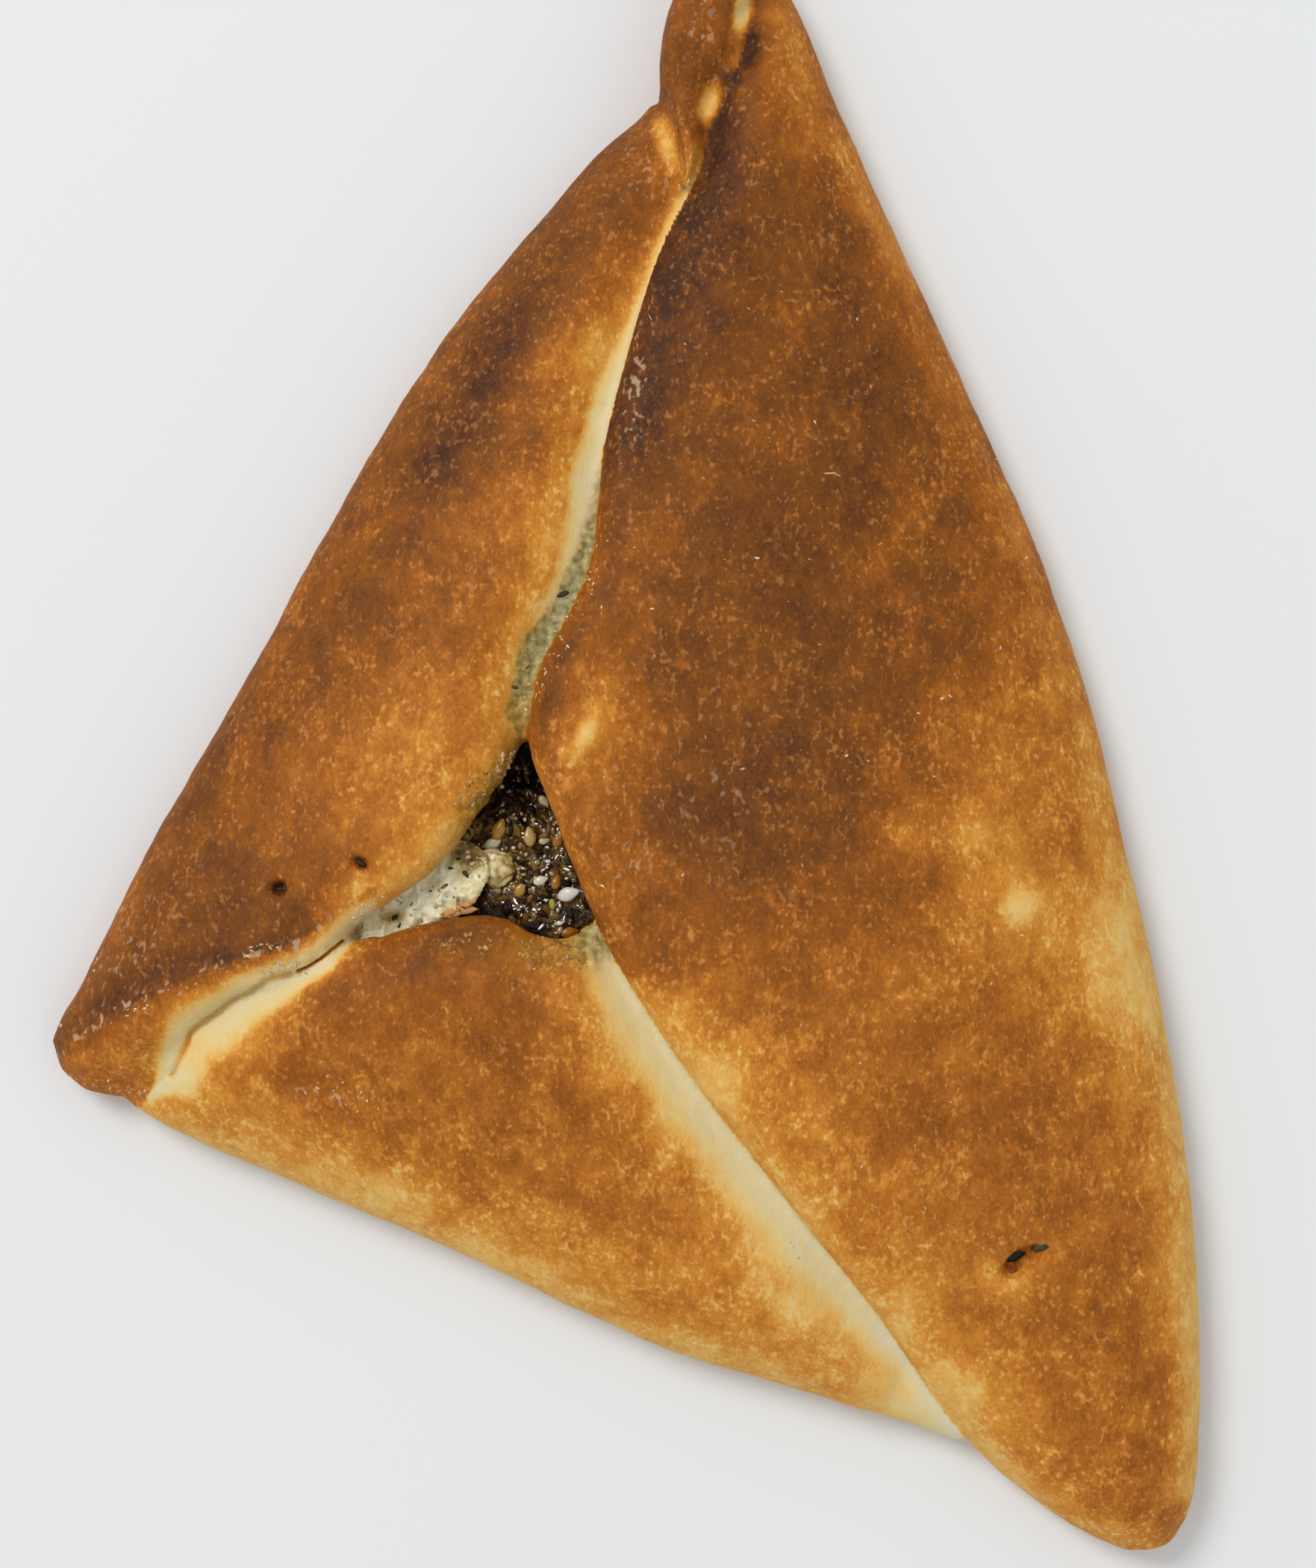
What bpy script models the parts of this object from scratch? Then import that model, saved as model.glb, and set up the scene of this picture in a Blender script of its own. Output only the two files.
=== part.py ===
"""A zaatar and cheese borek: a long three-cornered pastry folded from one sheet of dough.

Three flaps are folded in over the filling. The right flap lies on top of the other two, the left
flap ends in a twist at the top tip, and a small opening in the middle shows the filling.
The frame has its origin at the middle of the underside, +X to the right, +Y towards the twisted
tip and +Z up. Numbers in the outlines are millimetres, and MM turns them into metres.
"""
import math

import bpy
import bmesh
import numpy as np
from mathutils import Matrix, Vector, noise

MM = 0.001

# Height of the pastry: the side is widest low down, rounds over a shoulder and swells to a dome
SIDE_LEVEL = 4.5 * MM
SHOULDER_RISE = 6.0 * MM
SHOULDER_WIDTH = 9.0 * MM
DOME_RISE = 13.0 * MM
DOME_WIDTH = 42.0 * MM

# Dough
DOUGH = 6.5 * MM           # thickness of a risen flap
BASE = 4.5 * MM            # thickness of the sheet under the filling
FOOT = 0.5 * MM            # underside of the flaps, just above the underside of the base
LIP_RADIUS = 3.0 * MM      # roundness of a flap's free edge
TUCK = 7.0 * MM            # how far a flap runs on beneath the one that covers it
TUCK_REACH = 4.0 * MM      # an edge this far from the covered stretch is free
SEAM_REACH = 6.0 * MM      # distance over which a covered flap dips towards its seam
RIGHT_REACH = 6.0 * MM     # distance over which each flap sinks towards its own edge
LEFT_REACH = 9.0 * MM
BOTTOM_REACH = 11.0 * MM
NARROWEST = 3.5 * MM       # a flap ends where it is narrower than this
LEFT_NARROWEST = 6.5 * MM
# Rounding under a flap's outer side: distance in from the side, and height
UNDER_SIDE = [(3.2 * MM, FOOT), (1.2 * MM, 1.1 * MM), (0.3 * MM, 2.6 * MM)]
# Rounding under its edge: share of the tuck, distance back from a free edge, and how far down
UNDER_LIP = [(0.5, 0.4 * MM, 1.6 * MM), (1.0, 1.2 * MM, 3.2 * MM)]
LIP_FOOT_BACK = 2.4 * MM
# The base sheet's rounded rim: distance in from the outline, and height
BASE_RIM = [(2.8 * MM, 0.0), (1.6 * MM, 1.0 * MM), (1.6 * MM, BASE)]
RELIEF = 0.45 * MM         # height of the crust's slow unevenness
RELIEF_PITCH = 16.0 * MM   # distance from one swelling of the crust to the next

# Filling
POCKET_INSET = 13.0 * MM   # dough round the filling, seen from above
POCKET_CENTRE = (-17.0 * MM, -15.0 * MM)
POCKET_RING = 2.0 * MM     # distance between rings of points in and near the opening
POCKET_RIM = 2.0 * MM      # height of the pocket's rim above the base sheet
CEILING_RUN = 12.0 * MM    # distance over which the ceiling comes down to the rim
FLOOR_RUN = 6.0 * MM
GAP = 0.3 * MM             # clearance between one solid and the next
PASTE_BUMP = 1.0 * MM      # roughness of the zaatar in the opening
PASTE_PITCH = 3.2 * MM
PASTE_SINK = 1.6 * MM      # how far the zaatar has sunk in the opening
CHEESE_SINK = 1.2 * MM     # and the cheese
SUNK_REACH = (14 * MM, 22 * MM)   # all of it within the first distance of the middle, none beyond
HOLLOW_CENTRE = (-12.5 * MM, -3.0 * MM)   # a hollow in the zaatar at the top of the opening
HOLLOW_REACH = 9.0 * MM
HOLLOW_DEPTH = 3.0 * MM
CHEESE_CENTRE = (-30.0 * MM, -20.5 * MM)
CHEESE_HALF = (13.0 * MM, 6.5 * MM)
CHEESE_TURN = math.radians(24)
CHEESE_DEPTH = 3.4 * MM
CHEESE_RIM = 0.8 * MM      # thickness that stays at the cheese's rim
CHEESE_CLEAR = 0.4 * MM    # extra room between the cheese and the zaatar under it

# Sesame seeds that show: place in millimetres, turn in degrees and size against a whole seed
SEED = (3.1 * MM, 2.1 * MM, 1.4 * MM)
SEEDS = [((-17.0, -11.6), 75, 0.95), ((-13.0, -12.6), 95, 0.86), ((-17.9, -13.8), 22, 0.95),
         ((-9.2, -13.1), 60, 0.7), ((-11.5, -18.4), 20, 0.66), ((-9.5, -18.6), 75, 0.66),
         ((-7.8, -20.2), 18, 1.0), ((-7.6, -25.3), 8, 0.85), ((-11.2, -8.0), -50, 0.7),
         ((-14.2, -19.6), 60, 0.75)]
SEED_LIFT = 0.1 * MM

# Outlines, in millimetres, seen from above. The three sides run clockwise round the pastry.
RIGHT_SIDE = [(14, 110), (18.8, 105.5), (23.6, 97.4), (30.0, 81.0), (41.0, 57.7), (51.9, 33.6),
              (60.8, 9.6), (67.1, -15), (72.5, -39), (76.2, -63), (77.3, -86), (76.1, -103), (71, -110.5)]
BOTTOM_SIDE = [(71, -110.5), (61, -106.5), (50.5, -99), (42.5, -93.5), (28, -89.1), (6.1, -82.1),
               (-30, -66), (-54.5, -55.5), (-64.5, -50.5), (-69.5, -46.5)]
LEFT_SIDE = [(-64.5, -47.8), (-72, -47.4), (-76.8, -43.9), (-77.8, -39.6), (-74, -33),
             (-64.8, -14.4), (-51.2, 9.6), (-38, 33.5), (-22.6, 57.6), (-5.0, 78.2), (4.1, 86.2),
             (4.3, 91.8), (6, 99.5), (9.5, 106.5), (14, 110)]

# Free edge of each flap: the right one from the top tip down, the others from the left corner
RIGHT_EDGE = [(14, 110), (16, 97), (14.4, 89), (11.3, 82.5), (9.2, 75), (5, 66.4), (2, 58),
              (-3, 39), (-5, 23), (-11.5, 9.5), (-12.8, 2.5), (-13, -1), (-10, -9), (-3.6, -25),
              (7.5, -43), (20.5, -60), (33, -76), (42.5, -90), (50.5, -99), (61, -106.5), (71, -110.5)]
LEFT_EDGE = [(-64.5, -47.8), (-61.2, -44), (-58.2, -38.6), (-50, -33.3), (-41, -29.5), (-35.5, -23.8),
             (-31.7, -21.5), (-25.2, -17.2), (-20.2, -10.4), (-16, -4.2), (-12.8, 2.5)]
BOTTOM_EDGE = [(-38, -27.5), (-32.7, -26), (-28.6, -24.3), (-23, -22.7), (-18.5, -22.6),
               (-14.5, -23.7), (-10.2, -26.1), (-3.6, -25)]

# Where the two ends of the bottom flap lie, under the corner lobe and under the right flap
BOTTOM_ENDS = [(-67, -40), (49, -88)]

# The twisted end of the left flap: points along it with its half width and its lift off the crust
TWIST = [((15.5, 107.5), 3.0, 1.8), ((12.8, 102.5), 4.8, 3.0), ((10.2, 97.5), 4.4, 3.5),
         ((9.2, 93), 4.8, 3.6), ((8.2, 89), 4.3, 3.4), ((7.4, 85), 3.2, 3.0),
         ((7.6, 81), 2.4, 2.6), ((7.8, 77), 1.6, 1.8), ((7.4, 72.5), 0.8, 0.8)]

TWIST_SINK = 1.5 * MM      # the twist's widest level, below the crust's own height
TWIST_ROOT = 5.0 * MM      # and how deep its underside is bedded below that

# Small burst holes: place, half length, half width and turn
BURSTS = [((-45.7, -19.4), 1.1, 0.9, 0), ((-34.9, -16.0), 1.2, 0.7, -35), ((52.0, -68.4), 3.6, 1.3, 40)]
BURST_DEPTH = 2.2 * MM

STATION = 4.0 * MM         # distance between the cross sections of a flap
FULL_RUN = 26.0 * MM       # a flap narrower than this has a proportionally tighter section
SIDE_STEPS = np.array([0, 0.7, 2.0, 4.5, 8.5]) * MM
LIP_STEPS = np.array([9.0, 5.0, 2.6, 1.1, 0.3, 0]) * MM
MID_STEP = 8.0 * MM

COLOURS = {
    "dough": ((0.42, 0.16, 0.035), 0.62),
    "zaatar_filling": ((0.045, 0.03, 0.012), 0.3),
    "melted_cheese": ((0.62, 0.52, 0.3), 0.35),
}


def even(line, count):
    """The same line as a given number of evenly spaced points."""
    line = np.asarray(line)
    along = np.concatenate([[0], np.cumsum(np.linalg.norm(np.diff(line, axis=0), axis=1))])
    at = np.linspace(0, along[-1], count)
    return np.column_stack([np.interp(at, along, line[:, i]) for i in range(line.shape[1])])


def length_of(line):
    return float(np.linalg.norm(np.diff(line, axis=0), axis=1).sum())


def smooth_line(points, steps=10):
    """A smooth line in metres through hand-placed points in millimetres (Catmull-Rom)."""
    p = np.array(points, float) * MM
    p = np.vstack([2 * p[0] - p[1], p, 2 * p[-1] - p[-2]])
    t = np.linspace(0, 1, steps, endpoint=False)[:, None]
    spans = []
    for a, b, c, d in zip(p, p[1:], p[2:], p[3:]):
        spans.append(0.5 * (2 * b + (c - a) * t + (2 * a - 5 * b + 4 * c - d) * t ** 2
                            + (3 * b - a - 3 * c + d) * t ** 3))
    return np.vstack(spans + [p[-2:-1]])


def distance(points, line):
    """Distance from each point to a line of straight runs."""
    a, run = line[:-1], np.diff(line, axis=0)
    offset = points[:, None] - a[None]
    t = (offset * run).sum(-1) / np.maximum((run ** 2).sum(-1), 1e-18)
    nearest = np.clip(t, 0, 1)[..., None] * run
    return np.sqrt(((offset - nearest) ** 2).sum(-1)).min(1)


def quarter(x):
    """Quarter circle: rises steeply from 0 and levels off at 1."""
    return np.sqrt(1 - (1 - np.clip(x, 0, 1)) ** 2)


def ease(x):
    x = np.clip(x, 0, 1)
    return x * x * (3 - 2 * x)


SIDES = [even(smooth_line(side), 60) for side in (RIGHT_SIDE, BOTTOM_SIDE, LEFT_SIDE)]


def inset(points):
    """Distance in from the outline, with the corners of the level lines rounded."""
    near = [np.maximum(distance(points, side), 1e-6) for side in SIDES]
    return sum(d ** -3.0 for d in near) ** (-1 / 3)


def relief(points):
    """Slow unevenness of the baked crust."""
    return np.array([noise.noise(Vector((x, y, 0)) / RELIEF_PITCH) * RELIEF for x, y in points])


def crown(points):
    """Height of the swollen crust above the surface that the pastry lies on."""
    d = inset(points)
    dome = np.sin(np.pi / 2 * np.clip(d / DOME_WIDTH, 0, 1))
    rise = SHOULDER_RISE * quarter(d / SHOULDER_WIDTH) + DOME_RISE * dome
    return SIDE_LEVEL + rise + relief(points) * ease(d / SHOULDER_WIDTH)


def add_object(name, mesh, collection):
    obj = bpy.data.objects.new(name, mesh)
    collection.objects.link(obj)
    return obj


def loft(name, rings, collection):
    """One closed body through rings of points, with a face across each end."""
    body = bmesh.new()
    rows = [[body.verts.new(point) for point in ring] for ring in rings]
    for near, far in zip(rows, rows[1:]):
        for i in range(len(near)):
            j = (i + 1) % len(near)
            body.faces.new((near[i], near[j], far[j], far[i]))
    body.faces.new(reversed(rows[0]))
    body.faces.new(rows[-1])
    bmesh.ops.triangulate(body, faces=body.faces)
    bmesh.ops.recalc_face_normals(body, faces=body.faces)
    mesh = bpy.data.meshes.new(name)
    body.to_mesh(mesh)
    body.free()
    return add_object(name, mesh, collection)


def flap_ring(outer, edge, tuck, fall, reach, mid_count):
    """Cross section of a flap from its outer side to its edge.

    The top follows the crown and sinks by fall over the last reach before the edge. A free edge
    (tuck 0) rolls over with LIP_RADIUS, and a covered one runs on beneath its neighbour.
    """
    run = float(np.linalg.norm(edge - outer))
    along = (edge - outer) / run
    tight = min(1.0, run / FULL_RUN)
    side, lip = tight * SIDE_STEPS, run - tight * LIP_STEPS
    s = np.concatenate([side, np.linspace(side[-1], lip[0], mid_count + 2)[1:-1], lip])
    top = outer + s[:, None] * along
    z = crown(top) - fall * (1 - ease((run - s) / reach))
    free = 1 - min(1.0, tuck / TUCK)
    z -= tight * free * LIP_RADIUS * (1 - quarter((run - s) / (tight * LIP_RADIUS)))
    drop = min(1.0, (z[-1] - FOOT) / DOUGH)
    profile = [(tight * inward, level) for inward, level in UNDER_SIDE]
    profile += list(zip(s, z))
    profile += [(run + share * tuck - tight * free * back, z[-1] - drop * down)
                for share, back, down in UNDER_LIP]
    profile.append((run + tuck - tight * free * LIP_FOOT_BACK, FOOT))
    return [(*(outer + s * along), z) for s, z in profile]


def flap(name, outer, edge, cover, fall, reach, collection, narrowest=NARROWEST):
    """A folded flap between the pastry's side and its own edge, from one end to the other.

    cover, if any, gives how far the edge runs on beneath a neighbour at each point, and fall how
    far the top has sunk at the edge. The flap ends where it is narrower than narrowest.
    """
    count = int(length_of(edge) / STATION)
    outer, edge = even(outer, count), even(edge, count)
    tuck = cover(edge) if cover else np.zeros(count)
    runs = np.linalg.norm(edge - outer, axis=1)
    mid_count = int(runs.max() / MID_STEP)
    rings = [flap_ring(outer[i], edge[i], tuck[i], fall(edge[i]), reach, mid_count)
             for i in range(count) if runs[i] > narrowest]
    return loft(name, rings, collection)


def upto(line, point, keep_start=True):
    """The part of a line before, or after, its nearest place to a point."""
    at = int(np.argmin(np.linalg.norm(line - np.array(point) * MM, axis=1)))
    return line[:at + 1] if keep_start else line[at:]


def covered(points, hidden, side):
    """How far an edge runs on beneath its neighbour: TUCK where it lies along the hidden stretch,
    less where the neighbour is narrow, and nothing where the edge is free."""
    on_it = 1 - ease(distance(points, hidden) / TUCK_REACH)
    room = 0.45 * distance(points, side)
    return np.minimum(TUCK, room) * on_it


def build_flaps(collection):
    right_edge = smooth_line(RIGHT_EDGE)
    left_edge = smooth_line(LEFT_EDGE)
    bottom_edge = smooth_line(BOTTOM_EDGE)
    upper_seam = upto(right_edge, LEFT_EDGE[-1])
    lower_seam = upto(upto(right_edge, BOTTOM_EDGE[-1], False), (38, -83))
    corner_seam = upto(upto(left_edge, BOTTOM_EDGE[0]), (-55, -37), False)
    left_end, right_end = np.array(BOTTOM_ENDS)[:, None] * MM

    def right_fall(point):
        return (0.6 + 1.6 * ease((point[1] / MM - 45) / 40)) * MM

    def left_fall(point):
        near_seam = 1 - ease(distance(point[None], upper_seam)[0] / SEAM_REACH)
        return (1.8 + 2.6 * near_seam) * MM * (1 - 0.5 * ease((point[1] / MM - 45) / 40))

    def bottom_fall(point):
        near_seam = 1 - ease(distance(point[None], lower_seam)[0] / SEAM_REACH)
        return (3.2 + 1.4 * near_seam) * MM

    flap("right_flap", SIDES[0], right_edge, None, right_fall, RIGHT_REACH, collection)
    flap("left_flap", SIDES[2], np.vstack([left_edge, upper_seam[::-1][1:]]),
         lambda p: covered(p, upper_seam, SIDES[0]), left_fall, LEFT_REACH,
         collection, LEFT_NARROWEST)
    flap("bottom_flap", upto(SIDES[1][::-1], (45, -95)),
         np.vstack([left_end, corner_seam[:-1], bottom_edge, lower_seam[1:], right_end]),
         lambda p: np.maximum(covered(p, lower_seam, SIDES[0]), covered(p, corner_seam, SIDES[2])),
         bottom_fall, BOTTOM_REACH, collection)


def build_base(collection):
    """The bottom of the sheet, under everything, a little inside the outline."""
    right, bottom, left = SIDES
    loop = [right[:-1], upto(bottom, BOTTOM_SIDE[-2]), upto(left, LEFT_SIDE[1], False)]
    outline = even(np.vstack(loop), 73)[:-1]
    ahead = np.roll(outline, -1, axis=0) - np.roll(outline, 1, axis=0)
    inward = np.column_stack([ahead[:, 1], -ahead[:, 0]]) / np.linalg.norm(ahead, axis=1)[:, None]
    rings = []
    for depth, z in BASE_RIM:
        rings.append([(x, y, z) for x, y in outline + inward * depth])
    return loft("base_sheet", rings, collection)


def build_twist(collection):
    """The end of the left flap, rolled and drawn out to a point along the seam."""
    path = smooth_line([place for place, _, _ in TWIST], 3)
    stations = np.linspace(0, 1, len(path))
    given = np.linspace(0, 1, len(TWIST))
    half = np.interp(stations, given, [w for _, w, _ in TWIST]) * MM
    lift = np.interp(stations, given, [h for _, _, h in TWIST]) * MM
    ahead = np.gradient(path, axis=0)
    across = np.column_stack([ahead[:, 1], -ahead[:, 0]]) / np.linalg.norm(ahead, axis=1)[:, None]
    sides = 12
    rings = []
    for place, normal, width, height in zip(path, across, half, lift):
        centre = crown(place[None])[0] - TWIST_SINK
        ring = []
        for turn in np.arange(sides) * math.tau / sides:
            x, y = place + normal * width * math.cos(turn)
            rise = height + TWIST_SINK if turn < math.pi else TWIST_ROOT
            ring.append((x, y, centre + rise * math.sin(turn)))
        rings.append(ring)
    return loft("twist", rings, collection)


def rim_radius(centre, angle):
    """How far the pocket reaches from its centre in one direction."""
    reach = np.arange(8, 130, 0.5) * MM
    line = np.array(centre) + reach[:, None] * np.array([math.cos(angle), math.sin(angle)])
    inside = inset(line) > POCKET_INSET
    return float(reach[np.argmin(inside)])


def polar_lump(name, centre, radii, top, bottom, collection):
    """A closed lump with a rim of given radii, an upper and a lower surface.

    radii holds one list of rising radii for each direction, the last of them on the rim.
    """
    count, rings = len(radii), len(radii[0])
    turns = np.arange(count) * math.tau / count
    spokes = np.column_stack([np.cos(turns), np.sin(turns)])
    body = bmesh.new()

    def surface(height, upto_ring):
        rows = []
        for k in range(upto_ring):
            flat = np.array(centre) + spokes * np.array([r[k] for r in radii])[:, None]
            rows.append([body.verts.new((x, y, z)) for (x, y), z in zip(flat, height(flat))])
        hub = body.verts.new((*centre, height(np.array([centre]))[0]))
        return hub, rows

    def skin(hub, rows, rim):
        rows = rows + [rim]
        for i in range(count):
            body.faces.new((hub, rows[0][i], rows[0][(i + 1) % count]))
        for near, far in zip(rows, rows[1:]):
            for i in range(count):
                j = (i + 1) % count
                body.faces.new((near[i], near[j], far[j], far[i]))

    flat_rim = np.array(centre) + spokes * np.array([r[-1] for r in radii])[:, None]
    rim_height = (top(flat_rim) + bottom(flat_rim)) / 2
    rim = [body.verts.new((x, y, z)) for (x, y), z in zip(flat_rim, rim_height)]
    skin(*surface(top, rings - 1), rim)
    skin(*surface(bottom, rings - 1), rim)
    bmesh.ops.triangulate(body, faces=body.faces)
    bmesh.ops.recalc_face_normals(body, faces=body.faces)
    mesh = bpy.data.meshes.new(name)
    body.to_mesh(mesh)
    body.free()
    return add_object(name, mesh, collection)


def pocket_radii(shrink):
    """Rings of the pocket: close together in the opening, further apart out to the rim."""
    fine = np.arange(1, 9) * POCKET_RING
    radii = []
    for turn in np.arange(36) * math.tau / 36:
        rim = rim_radius(POCKET_CENTRE, turn) - shrink
        outer = fine[-1] + (rim - fine[-1]) * np.array([0.3, 0.6, 0.85, 0.96, 1.0])
        radii.append(np.concatenate([fine, outer]))
    return radii


def pocket_ceiling(points):
    """Underside of the flaps, coming down to meet the base at the pocket's rim."""
    blend = quarter((inset(points) - POCKET_INSET) / CEILING_RUN)
    rim = BASE + POCKET_RIM
    return rim + (crown(points) - DOUGH - rim) * blend


def pocket_floor(points):
    blend = quarter((inset(points) - POCKET_INSET) / FLOOR_RUN)
    return BASE + POCKET_RIM * (1 - blend)


def cheese_radius(points):
    """0 at the middle of the cheese and 1 at its rim."""
    x, y = (points - np.array(CHEESE_CENTRE)).T
    c, s = math.cos(CHEESE_TURN), math.sin(CHEESE_TURN)
    return np.hypot((x * c + y * s) / CHEESE_HALF[0], (y * c - x * s) / CHEESE_HALF[1])


def cheese_thickness(points):
    return CHEESE_DEPTH * (1 - np.clip(cheese_radius(points), 0, 1) ** 2) + CHEESE_RIM


def sunk(points):
    """1 round the opening, where the filling has sunk, and 0 well under the flaps."""
    full, none = SUNK_REACH
    away = np.linalg.norm(points - np.array(POCKET_CENTRE), axis=1)
    return 1 - ease((away - full) / (none - full))


def paste_top(points):
    """Top of the zaatar: under the flaps' inner side, rough in the opening, low under the cheese."""
    z = pocket_ceiling(points) - GAP
    bumps = np.array([noise.noise(Vector((x, y, 0.02)) / PASTE_PITCH) for x, y in points])
    hollow = 1 - ease(np.linalg.norm(points - np.array(HOLLOW_CENTRE), axis=1) / HOLLOW_REACH)
    z -= sunk(points) * (PASTE_SINK + PASTE_BUMP * (0.5 - 0.9 * bumps).clip(0, 2) + HOLLOW_DEPTH * hollow)
    under_cheese = 1 - ease((cheese_radius(points) - 1.08) / 0.25)
    return z - under_cheese * (cheese_thickness(points) + GAP)


def paste_bottom(points):
    return pocket_floor(points) + GAP


def seed(name, place, turn, size, collection):
    """A sesame seed: a small flattened ellipsoid."""
    bpy.ops.mesh.primitive_uv_sphere_add(segments=6, ring_count=4, radius=0.5)
    obj = bpy.context.object
    obj.name = name
    half = Matrix.Diagonal((*(side * size for side in SEED), 1))
    spin = Matrix.Rotation(math.radians(turn), 4, "Z")
    obj.data.transform(Matrix.Translation(place) @ spin @ half @ Matrix.Rotation(math.pi / 2, 4, "Y"))
    bpy.context.collection.objects.unlink(obj)
    collection.objects.link(obj)


def lay_seeds(collection):
    for number, (place, turn, size) in enumerate(SEEDS):
        spot = np.array([place]) * MM
        seed("seed_%02d" % number, (*spot[0], paste_top(spot)[0] + SEED_LIFT), turn, size, collection)


def boolean(obj, operation, other=None, collection=None):
    """Applies a Boolean with one object or with a whole collection."""
    step = obj.modifiers.new(operation.lower(), "BOOLEAN")
    step.operation = operation
    step.solver = "EXACT"
    step.operand_type = "COLLECTION" if collection else "OBJECT"
    if collection:
        step.collection = collection
    else:
        step.object = other
    done = bpy.data.meshes.new_from_object(obj.evaluated_get(bpy.context.evaluated_depsgraph_get()))
    obj.modifiers.clear()
    obj.data = done


def discard(collection):
    for obj in list(collection.objects):
        bpy.data.objects.remove(obj)
    bpy.data.collections.remove(collection)


def new_collection(name):
    made = bpy.data.collections.new(name)
    bpy.context.scene.collection.children.link(made)
    return made


def finish(obj, name):
    """Names an object and its mesh, and gives it its own material."""
    obj.name = name
    obj.data.name = name
    colour, roughness = COLOURS[name]
    material = bpy.data.materials.new(name)
    material.use_nodes = True
    shader = material.node_tree.nodes["Principled BSDF"]
    shader.inputs["Base Color"].default_value = (*colour, 1)
    shader.inputs["Roughness"].default_value = roughness
    obj.data.materials.clear()
    obj.data.materials.append(material)
    obj.data.shade_smooth()


def build_dough(part):
    pieces, cutters = new_collection("folds"), new_collection("cutters")
    build_flaps(pieces)
    build_twist(pieces)
    dough = build_base(part)
    boolean(dough, "UNION", collection=pieces)
    polar_lump("pocket", POCKET_CENTRE, pocket_radii(0), pocket_ceiling, pocket_floor, cutters)
    for place, half_length, half_width, turn in BURSTS:
        spot = np.array([place]) * MM
        bpy.ops.mesh.primitive_uv_sphere_add(segments=8, ring_count=5, radius=1)
        hole = bpy.context.object
        size = Matrix.Diagonal((half_length * MM, half_width * MM, BURST_DEPTH, 1))
        spin = Matrix.Rotation(math.radians(turn), 4, "Z")
        hole.data.transform(Matrix.Translation((*spot[0], crown(spot)[0])) @ spin @ size)
        bpy.context.collection.objects.unlink(hole)
        cutters.objects.link(hole)
    boolean(dough, "DIFFERENCE", collection=cutters)
    discard(pieces)
    discard(cutters)
    finish(dough, "dough")


def build_filling(part):
    seeds = new_collection("seeds")
    paste = polar_lump("paste", POCKET_CENTRE, pocket_radii(GAP), paste_top, paste_bottom, part)
    lay_seeds(seeds)
    boolean(paste, "UNION", collection=seeds)
    discard(seeds)
    finish(paste, "zaatar_filling")


def build_cheese(part):
    turns = np.arange(28) * math.tau / 28
    rim = 1 / np.hypot(np.cos(turns - CHEESE_TURN) / CHEESE_HALF[0],
                       np.sin(turns - CHEESE_TURN) / CHEESE_HALF[1])
    radii = rim[:, None] * np.array([0.2, 0.4, 0.6, 0.8, 0.93, 1.0])

    def top(points):
        return pocket_ceiling(points) - GAP - CHEESE_SINK * sunk(points)

    def bottom(points):
        return top(points) - cheese_thickness(points) + CHEESE_CLEAR

    cheese = polar_lump("cheese", CHEESE_CENTRE, radii, top, bottom, part)
    finish(cheese, "melted_cheese")


def main():
    for obj in list(bpy.data.objects):
        bpy.data.objects.remove(obj)
    part = new_collection("zaatar_and_cheese_borek")
    build_dough(part)
    build_filling(part)
    build_cheese(part)


main()
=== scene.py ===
# %% [markdown]
# # A zaatar and cheese borek
# The real thing is one sheet of yeasted dough, folded in from three sides over dark zaatar paste
# and white cheese, then baked hot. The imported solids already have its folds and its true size.
# Here they are loaded as a fixed frame, and everything that makes them look like food is built
# around them: fine copies of the solids, browned by rule, with seeds, herbs and crumbs on top.

# %% Load the frame
import math

import bpy
import bmesh
import numpy as np
from mathutils import Matrix, Vector, noise
from mathutils.bvhtree import BVHTree


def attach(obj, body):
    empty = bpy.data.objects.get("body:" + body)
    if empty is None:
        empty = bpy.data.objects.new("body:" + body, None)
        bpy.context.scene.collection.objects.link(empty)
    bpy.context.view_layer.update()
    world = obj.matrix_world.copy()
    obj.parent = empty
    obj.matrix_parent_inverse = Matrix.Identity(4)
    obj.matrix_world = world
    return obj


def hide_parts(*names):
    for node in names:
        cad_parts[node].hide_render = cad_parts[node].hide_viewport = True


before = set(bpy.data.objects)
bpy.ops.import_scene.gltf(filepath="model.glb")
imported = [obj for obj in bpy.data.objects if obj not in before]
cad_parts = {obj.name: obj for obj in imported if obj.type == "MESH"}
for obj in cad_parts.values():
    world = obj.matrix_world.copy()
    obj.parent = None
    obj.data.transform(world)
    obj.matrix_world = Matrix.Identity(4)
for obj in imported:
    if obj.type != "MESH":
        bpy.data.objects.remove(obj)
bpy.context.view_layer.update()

MM = 0.001

# %% [markdown]
# ## The view
# The pastry was seen from straight above, from half a metre away. A camera without any turn
# already looks down its own -Z axis with +Y up in the picture, so only its place is set. The lens
# follows from how many pixels a metre covers: 4920 pixels of focal length on a frame 2100 high.

# %% Camera
PICTURE = (1763, 2100)
FOCAL_PIXELS = 4920
CAMERA_PLACE = (3.97 * MM, -5.68 * MM, 500 * MM)
SENSOR = 36.0

lens = bpy.data.cameras.new("camera")
lens.sensor_width = SENSOR
lens.lens = SENSOR * FOCAL_PIXELS / max(PICTURE)
lens.clip_start = 0.01
camera = bpy.data.objects.new("camera", lens)
camera.location = CAMERA_PLACE
bpy.context.scene.collection.objects.link(camera)
bpy.context.scene.camera = camera
print("lens %.1f mm, one pixel on the table is %.3f mm" % (lens.lens, 500 / FOCAL_PIXELS))

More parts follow.
